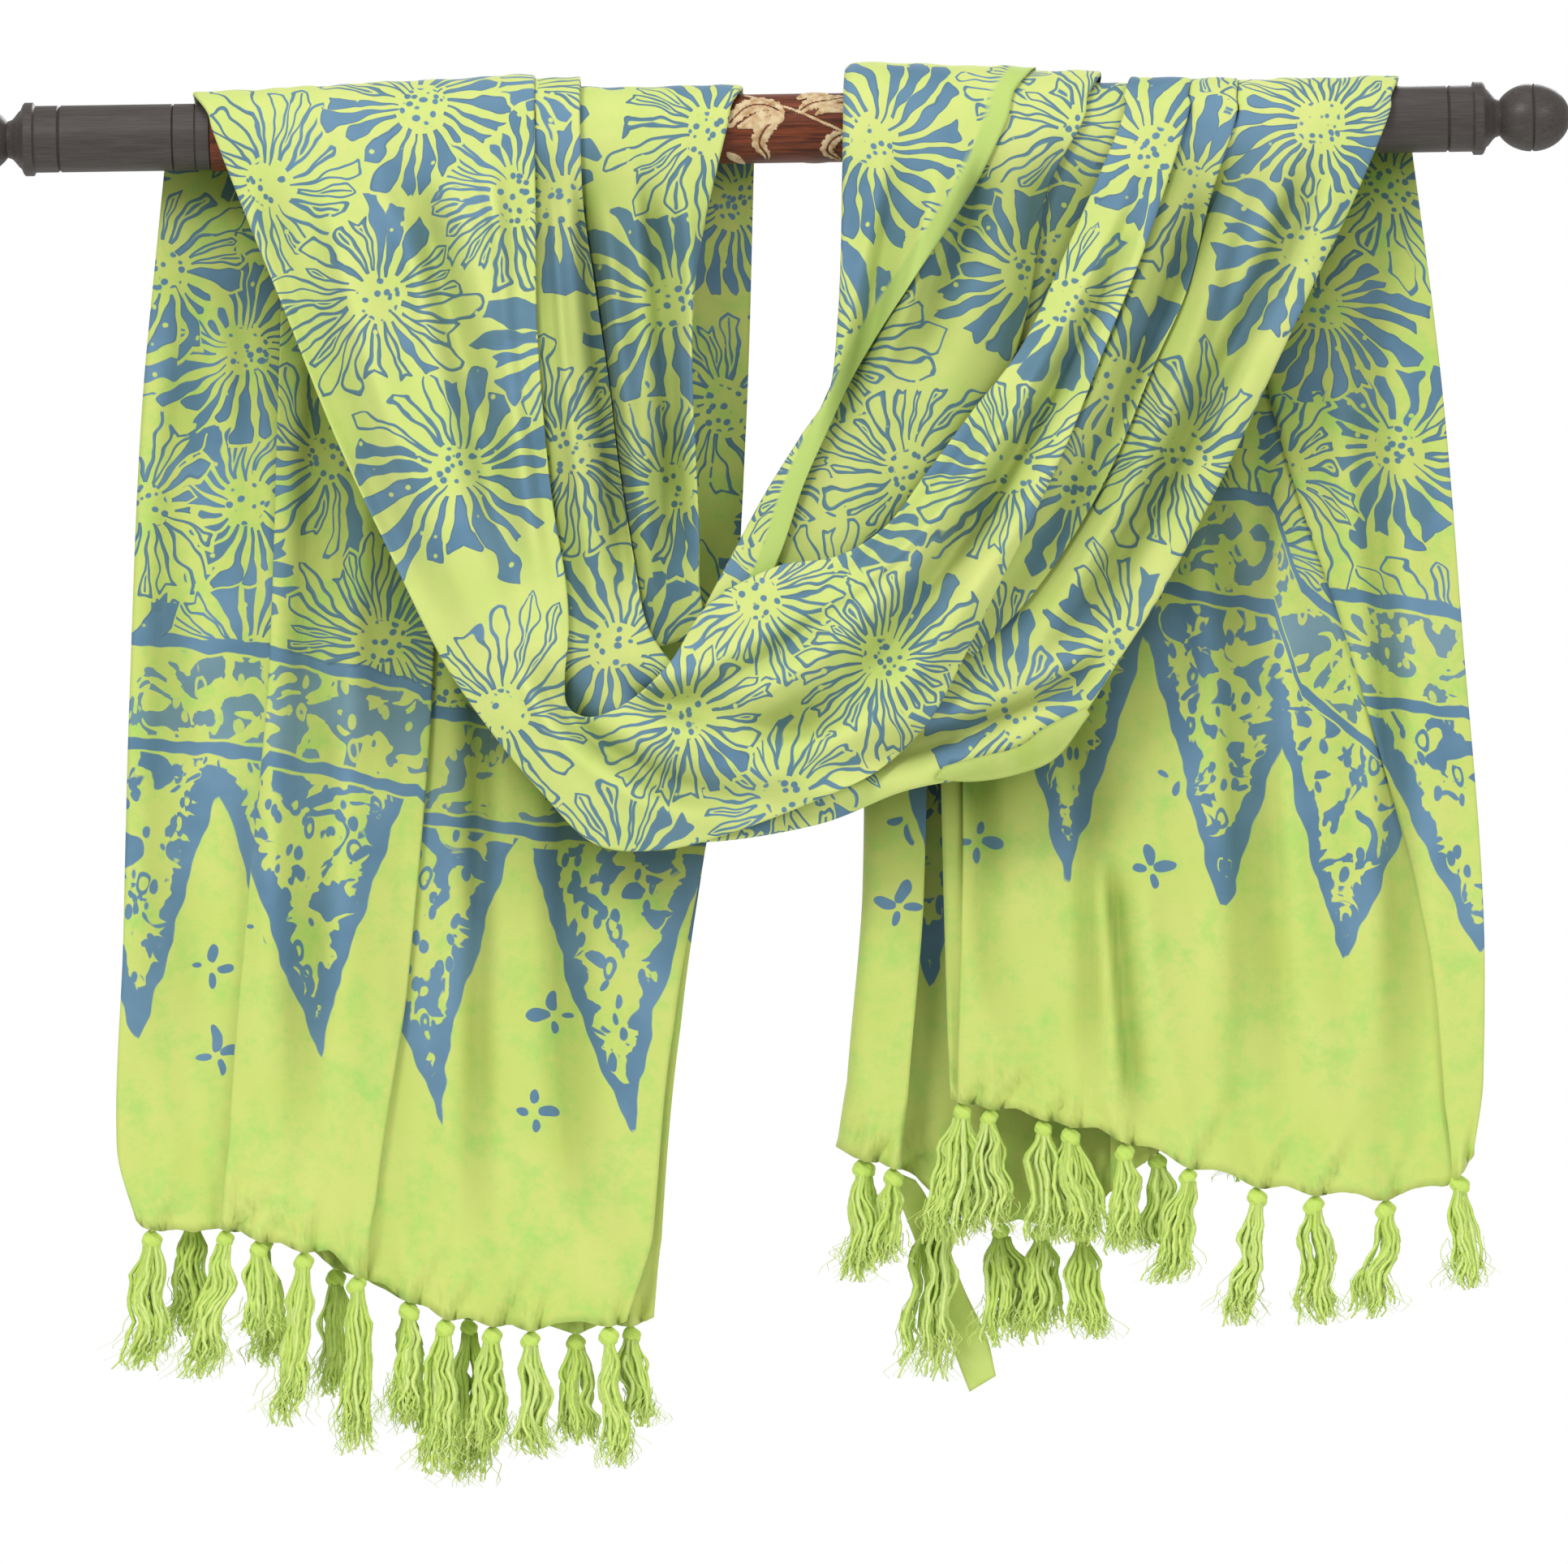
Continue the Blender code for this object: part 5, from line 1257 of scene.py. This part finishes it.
# The printed border of a tail: points of its lower line, and the tips of its triangles.
Border = namedtuple("Border", "line tips")
BORDERS = {
    "tail_left_front": Border([(-296, -268), (-237, -281), (-233, -276), (-167, -292), (-165, -295),
                               (-78, -315)],
                              [(-294, -407), (-212, -413), (-160, -439), (-74, -448)]),
    "tail_left_back": Border([(-280, -285), (-70, -325)], [(-262, -420), (-180, -430), (-100, -450)]),
    "tail_right_front": Border([(123, -197), (182, -209), (215, -215), (226, -252), (257, -257),
                                (262, -282), (302, -264)],
                               [(121, -337), (190, -354), (244, -376), (306, -376)]),
    "tail_right_back": Border([(40, -250), (290, -270)], [(60, -385), (150, -395), (240, -400)]),
}
TAIL_FLOWERS = {
    "tail_left_front": [(-277, -58, 0.4), (-241, -94, 0.1), (-287, -162, 0.8), (-242, -163, 0.2),
                        (-182, -225, 0.95), (-206, -142, 0.1), (-22, -31, 0.2), (-29, -123, 0.9)],
    "tail_left_back": [],
    "tail_right_front": [(244, -82, 0.35), (228, -155, 0.95), (278, -146, 0.25), (270, -30, 0.8)],
    "tail_right_back": [],
}
TAIL_SPRIGS = {
    "tail_left_front": [(-260, -368), (-258, -407), (-118, -435), (-109, -392), (-236, -350)],
    "tail_left_back": [],
    "tail_right_front": [(171, -289), (159, -330), (82, -318)],
    "tail_right_back": [(42, -308), (40, -345)],
}
TUMPAL_NET = 82.0     # usual distance between two triangles, mm
TUMPAL_LEAST = 60.0   # least drop of a triangle, mm
HEM_BAND = 4.0        # height over which the cloth thickens to its rolled hem, mm
UNDER_SWAG = 0.9      # shade on a tail right beside the swag
UNDER_SWAG_REACH = 18.0      # and how far it reaches, mm
TAIL_VALLEYS = 1.5    # shade in a tail's creases, against that of the swag
UNDER_ROD = 0.5       # shade under the rod
UNDER_ROD_FROM = 14.0  # where it starts to fade below the rod's axis, mm
UNDER_ROD_FADE = 40.0
STRIP_COLUMNS = 8


def border_frames(points, chart, border):
    """For each point: how far it is aside of the nearest tip, and its height over the lower line."""
    line = sorted(tuple(on_chart(points, chart, *spot)) for spot in border.line)
    tips = sorted(tuple(on_chart(points, chart, *spot)) for spot in border.tips)
    xs = [tips[0][0]]
    for u, _ in tips[1:]:
        gaps = max(1, int(round((u - xs[-1]) / TUMPAL_NET)))
        xs += [between(xs[-1], u, g / gaps) for g in range(1, gaps + 1)]
    first, last = chart[..., 0].min(), chart[..., 0].max()
    while xs[0] > first:
        xs.insert(0, xs[0] - TUMPAL_NET)
    while xs[-1] < last:
        xs.append(xs[-1] + TUMPAL_NET)
    xs = np.array(xs)
    u, z = chart[..., 0], chart[..., 1]
    base = np.interp(u, [p[0] for p in line], [p[1] for p in line])
    tip_z = np.interp(u, [p[0] for p in tips], [p[1] for p in tips])
    aside = np.min(np.abs(u[..., None] - xs), axis=-1)
    height = z - base
    height = np.where(height < 0, height * TUMPAL_DROP / np.maximum(base - tip_z, TUMPAL_LEAST), height)
    return np.stack([aside, height, aside * 0], -1)


def add_hem_group(obj, points, i, j):
    """A weight that thickens the last few millimetres to the rolled hem."""
    above = points[..., 2] - points[-1, :, 2]
    weight = 1.0 - np.clip(above / HEM_BAND, 0.0, 1.0)
    group = obj.vertex_groups.new(name="rolled_hem")
    chosen = weight[j, i]
    for index in np.nonzero(chosen > 0.01)[0]:
        group.add([int(index)], float(chosen[index]), "REPLACE")


def tails(fabric, plain, fringes):
    """The two ends of the cloth, each in a front and a back layer, and the torn corner strip."""
    for seed, (name, tail) in enumerate(TAILS.items(), start=11):
        points, chart = tail_form(tail)
        border = border_frames(points, chart, BORDERS[name])
        fixed = [(*on_chart(points, chart, x, z), drawn) for x, z, drawn in TAIL_FLOWERS[name]]
        sprigs = [on_chart(points, chart, *spot) for spot in TAIL_SPRIGS[name]]
        mesh, i, j = cloth_mesh(name + "_cloth", points)
        x, z = points[..., 0], points[..., 2]
        # painted shade: darker beside the swag's edges, in the crease valleys and under the rod
        over = np.minimum(near_line(FRONT_BAND[:12], x, z), near_line(OUTER_BAND, x, z))
        shade = UNDER_SWAG * np.exp(-over / UNDER_SWAG_REACH) + TAIL_VALLEYS * fold_shade(tail_push(x, z))
        shade = shade + UNDER_ROD * smooth(1 + (z + UNDER_ROD_FROM) / UNDER_ROD_FADE)
        printed(mesh, i, j, chart, fixed, seed, None, border, sprigs, 1.0, shade)
        obj = new_object(name + "_cloth", mesh, fabric, name)
        add_hem_group(obj, points, i, j)
        add_wall(obj, 0.0, HEM_ROLL, "rolled_hem", SHEET / HEM_ROLL)
    keys = [hanging_key(row) for row in CORNER_STRIP]
    parts = [band_section(key, STRIP_COLUMNS) for key in band_rows(keys)]
    points, chart = np.stack([part[0] for part in parts]), np.stack([part[1] for part in parts])
    mesh, i, j = cloth_mesh("corner_strip_cloth", points)
    printed(mesh, i, j, chart, [], 22)
    obj = new_object("corner_strip_cloth", mesh, plain, "corner_strip")
    add_wall(obj, -1.0, SHEET)


# ---- fringe -----------------------------------------------------------------------------------
STRAND_SIDES = 3
YARN_LEVELS = 16      # lengths that a yarn is built from
HAIR_LEVELS = 5
KNOT_HALF = 4.2       # half the knot's width, mm
KNOT_FLAT = 0.75      # depth of a knot, and of the tassel under it, as a share of its width
KNOT_TILT = 0.25      # how far it can lean aside with each mm down
KNOT_TINT = 0.25      # a knot has the colour that its yarns have so far down
START_DROP = 6.0      # the strands start inside the knot, so far under the tie, mm
NECK_HALF = 3.0       # half the width of the tassel there, mm
BELLY_HALF = 4.2      # what it gains under the knot, mm
SKIRT_HALF = 1.6      # and what it gains at its tips, mm
LOWER_THIRD = 0.7     # where along a strand it thins and the skirt opens
TIP_THIN = 0.55       # how much thinner a strand is at its tip
CURL_LENGTH = (7.0, 16.0)    # length of a strand's own curls, mm
CURL_HIGH = (0.2, 0.6)       # how far aside they go, mm
DRIFT = 1.7           # how far strands stray aside at their tips, mm
ROPE_TURN = 2.4       # from one rope of a tassel to the next, as an angle round it
ROPE_SHARE = 0.75     # a strand's place comes so much from its rope's
OWN_SHARE = 0.42      # and so much from its own
BUNCH = (55.0, 135.0)  # where the tassels of the right end hang close together
BUNCH_FULL = 1.6      # how much fuller they are there
ROPES = 6             # the yarns of a tassel hang in so many loose ropes

# A common wave: how far aside it goes, its length, its phase. Least and most of them follow.
Wave = namedtuple("Wave", "high length phase")
TASSEL_WAVE = Wave((0.3, 1.8), (24.0, 50.0), (0.0, math.tau))
ROPE_WAVE = Wave((0.4, 1.5), (14.0, 34.0), (0.0, math.tau))
Rope = namedtuple("Rope", "angle out wave")
# The strands of a tassel: how many, their radius, how loosely they hang, how short the shortest is as
# a share of the longest, and, for the hairs that a yarn's end splits into, where along it they begin.
Brush = namedtuple("Brush", "count radius loose shortest begins")
YARNS = Brush(40, 1.08, 1.0, 0.78, None)
HAIRS = Brush(64, 0.22, 2.6, 0.80, (0.55, 0.86))


def unit_strand(name, levels):
    """A straight strand one unit long, hanging from the origin: a ring extruded level by level."""
    bm = bmesh.new()
    bmesh.ops.create_circle(bm, cap_ends=False, radius=1.0, segments=STRAND_SIDES)
    edges = list(bm.edges)
    for _ in range(levels):
        edges = extruded(bm, edges, (0.0, 0.0, -1.0 / levels))
    bmesh.ops.holes_fill(bm, edges=bm.edges, sides=STRAND_SIDES)
    bmesh.ops.recalc_face_normals(bm, faces=bm.faces)
    return finished(bm, name)


def unit_knot():
    """The wrapped knot: a ball pulled in towards the cord above it, with slanting ribs of yarn."""
    bm = bmesh.new()
    bmesh.ops.create_uvsphere(bm, u_segments=30, v_segments=16, radius=1.0)
    for vert in bm.verts:
        around = math.atan2(vert.co.y, vert.co.x)
        rib = 1.0 + 0.10 * math.sin(5 * around + 5.5 * vert.co.z) * (1 - vert.co.z ** 2)
        pull = 1.0 - 0.35 * max(0.0, vert.co.z) ** 2
        vert.co = Vector((vert.co.x * rib * pull, vert.co.y * rib * pull, vert.co.z * 1.05))
    return finished(bm, "unit_knot")


def strand_paths(rng, brush, tie, common, ropes, full):
    """Paths of a brush of strands: from under the knot, waving down together and a little apart."""
    count, loose = brush.count, brush.loose
    angle = rng.uniform(0, math.tau, count)[:, None]
    spread = np.sqrt(rng.uniform(0.02, 1.0, count))[:, None]
    chosen = rng.integers(0, ROPES, count)
    rope_angle, rope_out, *rope_wave = (column[chosen][:, None]
                                        for column in (ropes.angle, ropes.out, *ropes.wave))
    drop = (tie.length - START_DROP) * rng.uniform(brush.shortest, 1.0, count)[:, None]
    phase = rng.uniform(0, math.tau, (count, 2))
    curl = rng.uniform(*CURL_LENGTH, (count, 2))
    sway = rng.uniform(*CURL_HIGH, (count, 2)) * loose
    drift = rng.normal(0.0, DRIFT, (count, 1)) * loose

    def path(t):
        """t runs down a strand from 0 to 1, one row a strand."""
        down = t * drop
        skirt = SKIRT_HALF * smooth((t - LOWER_THIRD) / 0.3) * loose
        wide = NECK_HALF + BELLY_HALF * full * smooth(t / 0.3) + skirt
        free = smooth(t / 0.25) * (1 + 1.6 * smooth((t - 0.72) / 0.28))
        x, y = (wide * (ROPE_SHARE * rope_out * turn(rope_angle) + OWN_SHARE * spread * turn(angle))
                for turn in (np.cos, np.sin))
        together = sum(high * np.sin(down / length * math.tau + start) * smooth(t / 0.3)
                       for high, length, start in (common, rope_wave))
        own_x, own_y = (free * sway[:, k, None] * np.sin(down / curl[:, k, None] * math.tau
                                                         + phase[:, k, None]) for k in (0, 1))
        x = x + together + own_x + drift * t ** 2 + tie.lean * (t * drop / tie.length) ** 1.2
        return np.stack([x, (y + own_y) * KNOT_FLAT, -START_DROP - down], -1)
    return path


def tassel(name, tie, y, z, seed, knot, templates, yarn):
    """One tassel as one mesh: copies of the knot and of the straight strands, carried into place."""
    rng = np.random.default_rng(seed)
    bm = bmesh.new()
    bm.from_mesh(knot)
    for template, brush in templates:
        for _ in range(brush.count):
            bm.from_mesh(template)
    mesh = finished(bm, name)
    co = points_of(mesh).astype(float)
    tint = np.zeros_like(co)
    head = len(knot.vertices)
    size = KNOT_HALF * rng.uniform(0.9, 1.08)
    tilt = rng.uniform(-KNOT_TILT, KNOT_TILT)
    ball = co[:head] * (size, size * KNOT_FLAT, size)
    ball[:, 0] += ball[:, 2] * tilt
    co[:head] = ball - (0.0, 0.0, size)
    tint[:head, 0] = KNOT_TINT
    common = Wave(*(rng.uniform(*span) for span in TASSEL_WAVE))
    ropes = Rope(np.arange(ROPES) * ROPE_TURN + rng.uniform(0, math.tau), rng.uniform(0.3, 1.0, ROPES),
                 Wave(*(rng.uniform(*span, ROPES) for span in ROPE_WAVE)))
    full = BUNCH_FULL if BUNCH[0] < tie.x < BUNCH[1] else 1.0
    start = head
    for template, brush in templates:
        end = start + brush.count * len(template.vertices)
        block = co[start:end].reshape(brush.count, -1, 3)
        t = -block[..., 2]
        path = strand_paths(rng, brush, tie, common, ropes, full)
        begin = rng.uniform(*brush.begins, brush.count)[:, None] if brush.begins else 0.0
        down = begin + (1 - begin) * t
        thick = brush.radius * (1.0 - TIP_THIN * smooth((t - LOWER_THIRD) / 0.3))
        thick = thick * rng.uniform(0.8, 1.2, (brush.count, 1))
        block = path(down) + np.stack([block[..., 0] * thick, block[..., 1] * thick, 0 * t], -1)
        co[start:end] = block.reshape(-1, 3)
        pale = rng.uniform(0, 1, (brush.count, 1)) ** 2
        tint[start:end, 0], tint[start:end, 1] = down.ravel(), (pale + 0 * t).ravel()
        start = end
    set_points(mesh, co + (tie.x, y, z))
    store(mesh, "strand", tint)
    mesh.shade_smooth()
    return new_object(name + "_yarns", mesh, yarn, name)


def tie_point(points, x, pick):
    """Where a tassel is tied: the depth and height under one layer of the hem at x."""
    found = []
    for a, b in zip(points, points[1:]):
        if min(a[0], b[0]) <= x <= max(a[0], b[0]) and abs(b[0] - a[0]) > 0.3:
            t = (x - a[0]) / (b[0] - a[0])
            found.append((between(a[1], b[1], t), between(a[2], b[2], t)))
    return pick(found)


def fringe(yarn):
    """Every tassel, tied under its hem; gives those of each tail."""
    strand, hair = unit_strand("unit_yarn", YARN_LEVELS), unit_strand("unit_hair", HAIR_LEVELS)
    knot = unit_knot()
    templates = ((strand, YARNS), (hair, HAIRS))
    made = {}
    seed = 100
    for name, rows, owner, pick in FRINGES:
        line = hem_line(TAILS[owner])
        for number, tie in enumerate(rows, start=1):
            seed += 1
            y, z = tie_point(line, tie.x, pick)
            y -= float(tail_push(np.array([tie.x]), np.array([z]))[0])
            piece = tassel(f"{name}_{number:02d}", tie, y, z, seed, knot, templates, yarn)
            made.setdefault(owner, []).append(piece)
    for mesh in (strand, hair, knot):
        bpy.data.meshes.remove(mesh)
    return made


# ---- rod --------------------------------------------------------------------------------------
CORE_SIDES = 160
CORE_INSET = 0.4      # the ground between the leaves lies this far inside of ROD_RADIUS, mm
RELIEF_FROM = -27.0   # the carved stretch that shows between the two arms of the swag
RELIEF_TO = 36.0
RELIEF_STEP = 0.5
RELIEF_HIGH = 0.7     # height of the leaves, mm
RELIEF_FADE = 3.0     # and the length over which they set in at its ends, mm
SLEEVE_SIDES = 80
BALL_GROOVE = 0.8     # depth of the groove round the ball, mm
BALL_GROOVE_HALF = 1.5       # half its width, in degrees of the ball's profile

# A stroke of the carving: points (along the rod, round it), half its width at each, its groove.
Stroke = namedtuple("Stroke", "points widths groove")
LEAF_STROKES = [
    Stroke([(-24, 2), (-17, 9), (-10, 11), (-3, 8), (0, 4)], (2.5, 4.2, 4.6, 3.6, 0.6), 1),
    Stroke([(-20, 0), (-14, 2), (-8, 4), (-2, 4)], (1.0, 3.0, 3.6, 2.0), 0),
    Stroke([(-3, 4), (-9, -2), (-11, -8), (-8, -14), (-8, -19)], (3.0, 4.0, 3.4, 2.0, 0.5), 1),
    Stroke([(-17, 18), (-6, 12), (6, 7), (16, 2), (27, -3)], (0.9, 0.9, 0.9, 0.9, 0.9), 0),
    Stroke([(6, 6), (12, 11), (19, 13), (28, 15)], (0.8, 3.8, 4.2, 2.0), 1),
    Stroke([(7, 15), (11, 18), (17, 18), (20, 14)], (1.6, 3.0, 2.6, 1.0), 0),
    Stroke([(14, 5), (19, 8), (26, 8), (31, 5)], (0.6, 2.4, 2.6, 1.0), 0),
    Stroke([(29, -3), (22, -6), (19, -12), (24, -18)], (1.2, 3.2, 3.0, 1.4), 1),
    Stroke([(-27, -12), (-22, -16), (-18, -22)], (1.0, 2.6, 1.0), 0),
]


def stroke_height(stroke, x, arc):
    """Height of one stroke, 0 to 1, with the fine line that is cut along its middle."""
    keys = [np.array((*point, width), float) for point, width in zip(stroke.points, stroke.widths)]
    path = np.array([through(keys, s) for s in np.linspace(0.0, len(keys) - 1, 8 * len(keys))])
    away = np.hypot(x[:, None] - path[:, 0], arc[:, None] - path[:, 1])
    nearest = np.argmin(away, axis=1)
    closest = away.min(axis=1)
    scallop = 0.12 * stroke.groove * np.cos(nearest * 1.6)
    body = smooth((path[nearest, 2] * (1 + scallop) - closest) / 0.4)
    return body * (1 - 0.8 * stroke.groove * smooth((0.75 - closest) / 0.3)), body


def scroll_leaf(x, arc):
    """Height of the carving, 0 to 1: curled leaves on a long stem, unrolled round the rod."""
    height = np.zeros_like(x)
    around = math.tau * ROD_RADIUS
    for side in (0.0, around / 2):
        local = (arc - side + around / 2) % around - around / 2
        for stroke in LEAF_STROKES:
            cut, body = stroke_height(stroke, x, local)
            rim = smooth((body - 0.02) / 0.1) * (1 - smooth((body - 0.5) / 0.2))
            height = np.maximum(height * (1 - rim), cut)
    return height


def rod_core(wood):
    """The rosewood core, with its leaf relief cut in low rounds."""
    bm = bmesh.new()
    bmesh.ops.create_circle(bm, cap_ends=False, radius=ROD_RADIUS - CORE_INSET, segments=CORE_SIDES)
    spun = Matrix.Rotation(math.pi / 2, 3, "Y")
    bmesh.ops.rotate(bm, cent=(0, 0, 0), matrix=spun, verts=bm.verts)
    bmesh.ops.translate(bm, vec=(ROD_CORE_LEFT, 0, 0), verts=bm.verts)
    edges = list(bm.edges)
    stops = [ROD_CORE_LEFT + 8.0, -200.0, -120.0, -60.0, RELIEF_FROM]
    stops += list(np.arange(RELIEF_FROM + RELIEF_STEP, RELIEF_TO, RELIEF_STEP))
    stops += [60.0, 120.0, 180.0, ROD_CORE_RIGHT]
    at = ROD_CORE_LEFT
    for stop in stops:
        edges = extruded(bm, edges, (stop - at, 0, 0))
        at = stop
    bmesh.ops.holes_fill(bm, edges=bm.edges, sides=CORE_SIDES)
    bmesh.ops.recalc_face_normals(bm, faces=bm.faces)
    mesh = finished(bm, "rod_core_wood")
    co = points_of(mesh).astype(float)
    angle = np.arctan2(co[:, 2], -co[:, 1])
    ends = smooth((co[:, 0] - RELIEF_FROM) / RELIEF_FADE) * smooth((RELIEF_TO - co[:, 0]) / RELIEF_FADE)
    leaf = scroll_leaf(co[:, 0], angle * ROD_RADIUS) * ends
    radial = np.stack([0 * angle, -np.cos(angle), np.sin(angle)], -1)
    set_points(mesh, co + radial * (leaf * RELIEF_HIGH)[:, None])
    store(mesh, "leaf", np.stack([leaf, leaf, leaf], -1))
    mesh.shade_smooth()
    mesh.set_sharp_from_angle(angle=math.radians(50))
    return new_object("rod_core_wood", mesh, wood, "rod_core")


def sleeve(name, end, direction, stain):
    """A turned sleeve with its ring, neck and grooved ball, spun from its profile."""
    r, length = SLEEVE_RADIUS, SLEEVE_LENGTH
    groove = length - GROOVE_FROM_END
    ring, neck = length + RING_LENGTH, length + NECK_FROM_SLEEVE
    profile = [
        (0.0, 0.0), (0.0, r - 0.4), (0.4, r), (6.0, r), (6.5, r - 0.5), (7.0, r),
        (16.0, r), (16.5, r - GROOVE_DEEP), (17.0, r),
        (groove - GROOVE_HALF - 0.3, r), (groove, r - GROOVE_DEEP), (groove + GROOVE_HALF + 0.3, r),
        (length - 0.4, r), (length, r + 0.5), (length + 0.5, r + RING_PROUD),
        (ring - 0.8, r + RING_PROUD), (ring, r + RING_PROUD - 0.8),
        (ring + 1.0, r - COVE_DEEP + 0.8), (ring + 2.0, r - COVE_DEEP),
        (neck - 1.0, NECK_RADIUS + 1.0), (neck, NECK_RADIUS)]
    ball_at = length + BALL_FROM_SLEEVE
    for degrees in (*range(-58, -3, 6), -2.6, -1.3, 0.0, 1.3, 2.6, *range(8, 90, 6)):
        a = math.radians(degrees)
        cut = BALL_GROOVE * math.exp(-(degrees / BALL_GROOVE_HALF) ** 2)
        profile.append((ball_at + BALL_HALF * math.sin(a), BALL_RADIUS * math.cos(a) - cut))
    profile.append((ball_at + BALL_HALF, 0.0))
    bm = bmesh.new()
    verts = [bm.verts.new((end + direction * along, 0.0, radius)) for along, radius in profile]
    for a, b in zip(verts, verts[1:]):
        bm.edges.new((a, b))
    bmesh.ops.spin(bm, geom=list(bm.verts) + list(bm.edges), cent=(0, 0, 0), axis=(1, 0, 0),
                   angle=math.tau, steps=SLEEVE_SIDES, use_merge=True)
    bmesh.ops.remove_doubles(bm, verts=bm.verts, dist=0.01)
    bmesh.ops.recalc_face_normals(bm, faces=bm.faces)
    bmesh.ops.scale(bm, vec=(MM, MM, MM), verts=bm.verts)
    mesh = finished(bm, name + "_wood")
    mesh.shade_smooth()
    mesh.set_sharp_from_angle(angle=math.radians(35))
    return new_object(name + "_wood", mesh, stain, name)


# ---- stage ------------------------------------------------------------------------------------
SENSOR = 36.0         # width of the camera's film, mm
LENS = 232.9          # its focal length, mm
VIEW_ROLL = math.radians(0.844)
VIEW_AT = (-0.00427, 0.0, -0.2899)  # the place in the middle of the picture, m
VIEW_FAR = 4.5        # how far off the camera stands, m
FLOOR_AT = -0.75      # height of the floor, m
FLOOR_RADIUS = 1.0
AMBIENT = 0.6         # the even light of the studio, beside its white world, which looks as bright as 1


def camera():
    """A long lens straight in front, rolled a little."""
    data = bpy.data.cameras.new("camera")
    data.sensor_width = SENSOR
    data.lens = LENS
    data.clip_end = 30.0
    obj = bpy.data.objects.new("camera", data)
    bpy.context.scene.collection.objects.link(obj)
    c, s = math.cos(VIEW_ROLL), math.sin(VIEW_ROLL)
    turned = Matrix(((c, s, 0.0), (0.0, 0.0, -1.0), (-s, c, 0.0)))
    obj.matrix_world = Matrix.Translation((VIEW_AT[0], -VIEW_FAR, VIEW_AT[2])) @ turned.to_4x4()
    bpy.context.scene.camera = obj


def stage():
    """A plain white floor under the part."""
    bm = bmesh.new()
    bmesh.ops.create_circle(bm, cap_ends=True, radius=FLOOR_RADIUS, segments=96)
    bmesh.ops.translate(bm, vec=(0.0, 0.0, FLOOR_AT), verts=bm.verts)
    mesh = finished(bm, "floor")
    material, n = new_material("white_paper_floor")
    grain = n("TexNoise", n("TexCoord", out=3), Scale=3.0)
    colour = n("MixRGB", grain, srgb("FDFDFD"), srgb("FBFBFA"))
    n("OutputMaterial", n("BsdfPrincipled", Base_Color=colour, Roughness=0.95), out=None)
    mesh.materials.append(material)
    obj = bpy.data.objects.new("floor", mesh)
    bpy.context.scene.collection.objects.link(obj)


Lamp = namedtuple("Lamp", "name place aim size power")
LAMPS = (
    Lamp("key", (-1.6, -2.7, 1.8), (0.0, 0.0, -0.25), 1.2, 56.0),
    Lamp("fill", (2.0, -2.7, 1.0), (0.0, 0.0, -0.3), 1.4, 25.0),
    Lamp("top", (0.0, -0.9, 2.2), (0.0, 0.1, -0.3), 1.2, 7.0),
    Lamp("back", (0.9, 2.8, 1.4), (0.0, 0.0, -0.3), 1.4, 30.0),
)


def lights():
    """The soft lamps, and a white world that lights more weakly than it looks."""
    for lamp in LAMPS:
        data = bpy.data.lights.new(lamp.name, "AREA")
        data.shape = "DISK"
        data.size = lamp.size
        data.energy = lamp.power
        obj = bpy.data.objects.new(lamp.name, data)
        bpy.context.scene.collection.objects.link(obj)
        aim = (Vector(lamp.aim) - Vector(lamp.place)).to_track_quat("-Z", "Y")
        obj.matrix_world = Matrix.Translation(lamp.place) @ aim.to_matrix().to_4x4()
    world = bpy.data.worlds.new("studio")
    world.use_nodes = True
    background = world.node_tree.nodes["Background"]
    background.inputs["Color"].default_value = (1.0, 1.0, 1.0, 1.0)
    seen = add_node(world.node_tree, "LightPath")
    strength = add_node(world.node_tree, "Math:MULTIPLY_ADD", seen, 1.0 - AMBIENT, AMBIENT)
    world.node_tree.links.new(strength, background.inputs["Strength"])
    bpy.context.scene.world = world


def dress():
    """The whole scene, in one go."""
    bpy.context.scene.view_settings.view_transform = "Standard"
    fabric, plain, yarn = batik_rayon(), plain_rayon(), fringe_yarn()
    wood, stain = rosewood(), stained_wood()
    camera()
    swag(fabric, plain)
    tails(fabric, plain, fringe(yarn))
    rod_core(wood)
    sleeve("rod_sleeve_left", ROD_CORE_LEFT - SEAM, -1, stain)
    sleeve("rod_sleeve_right", ROD_CORE_RIGHT + SEAM, 1, stain)
    stage()
    lights()


dress()
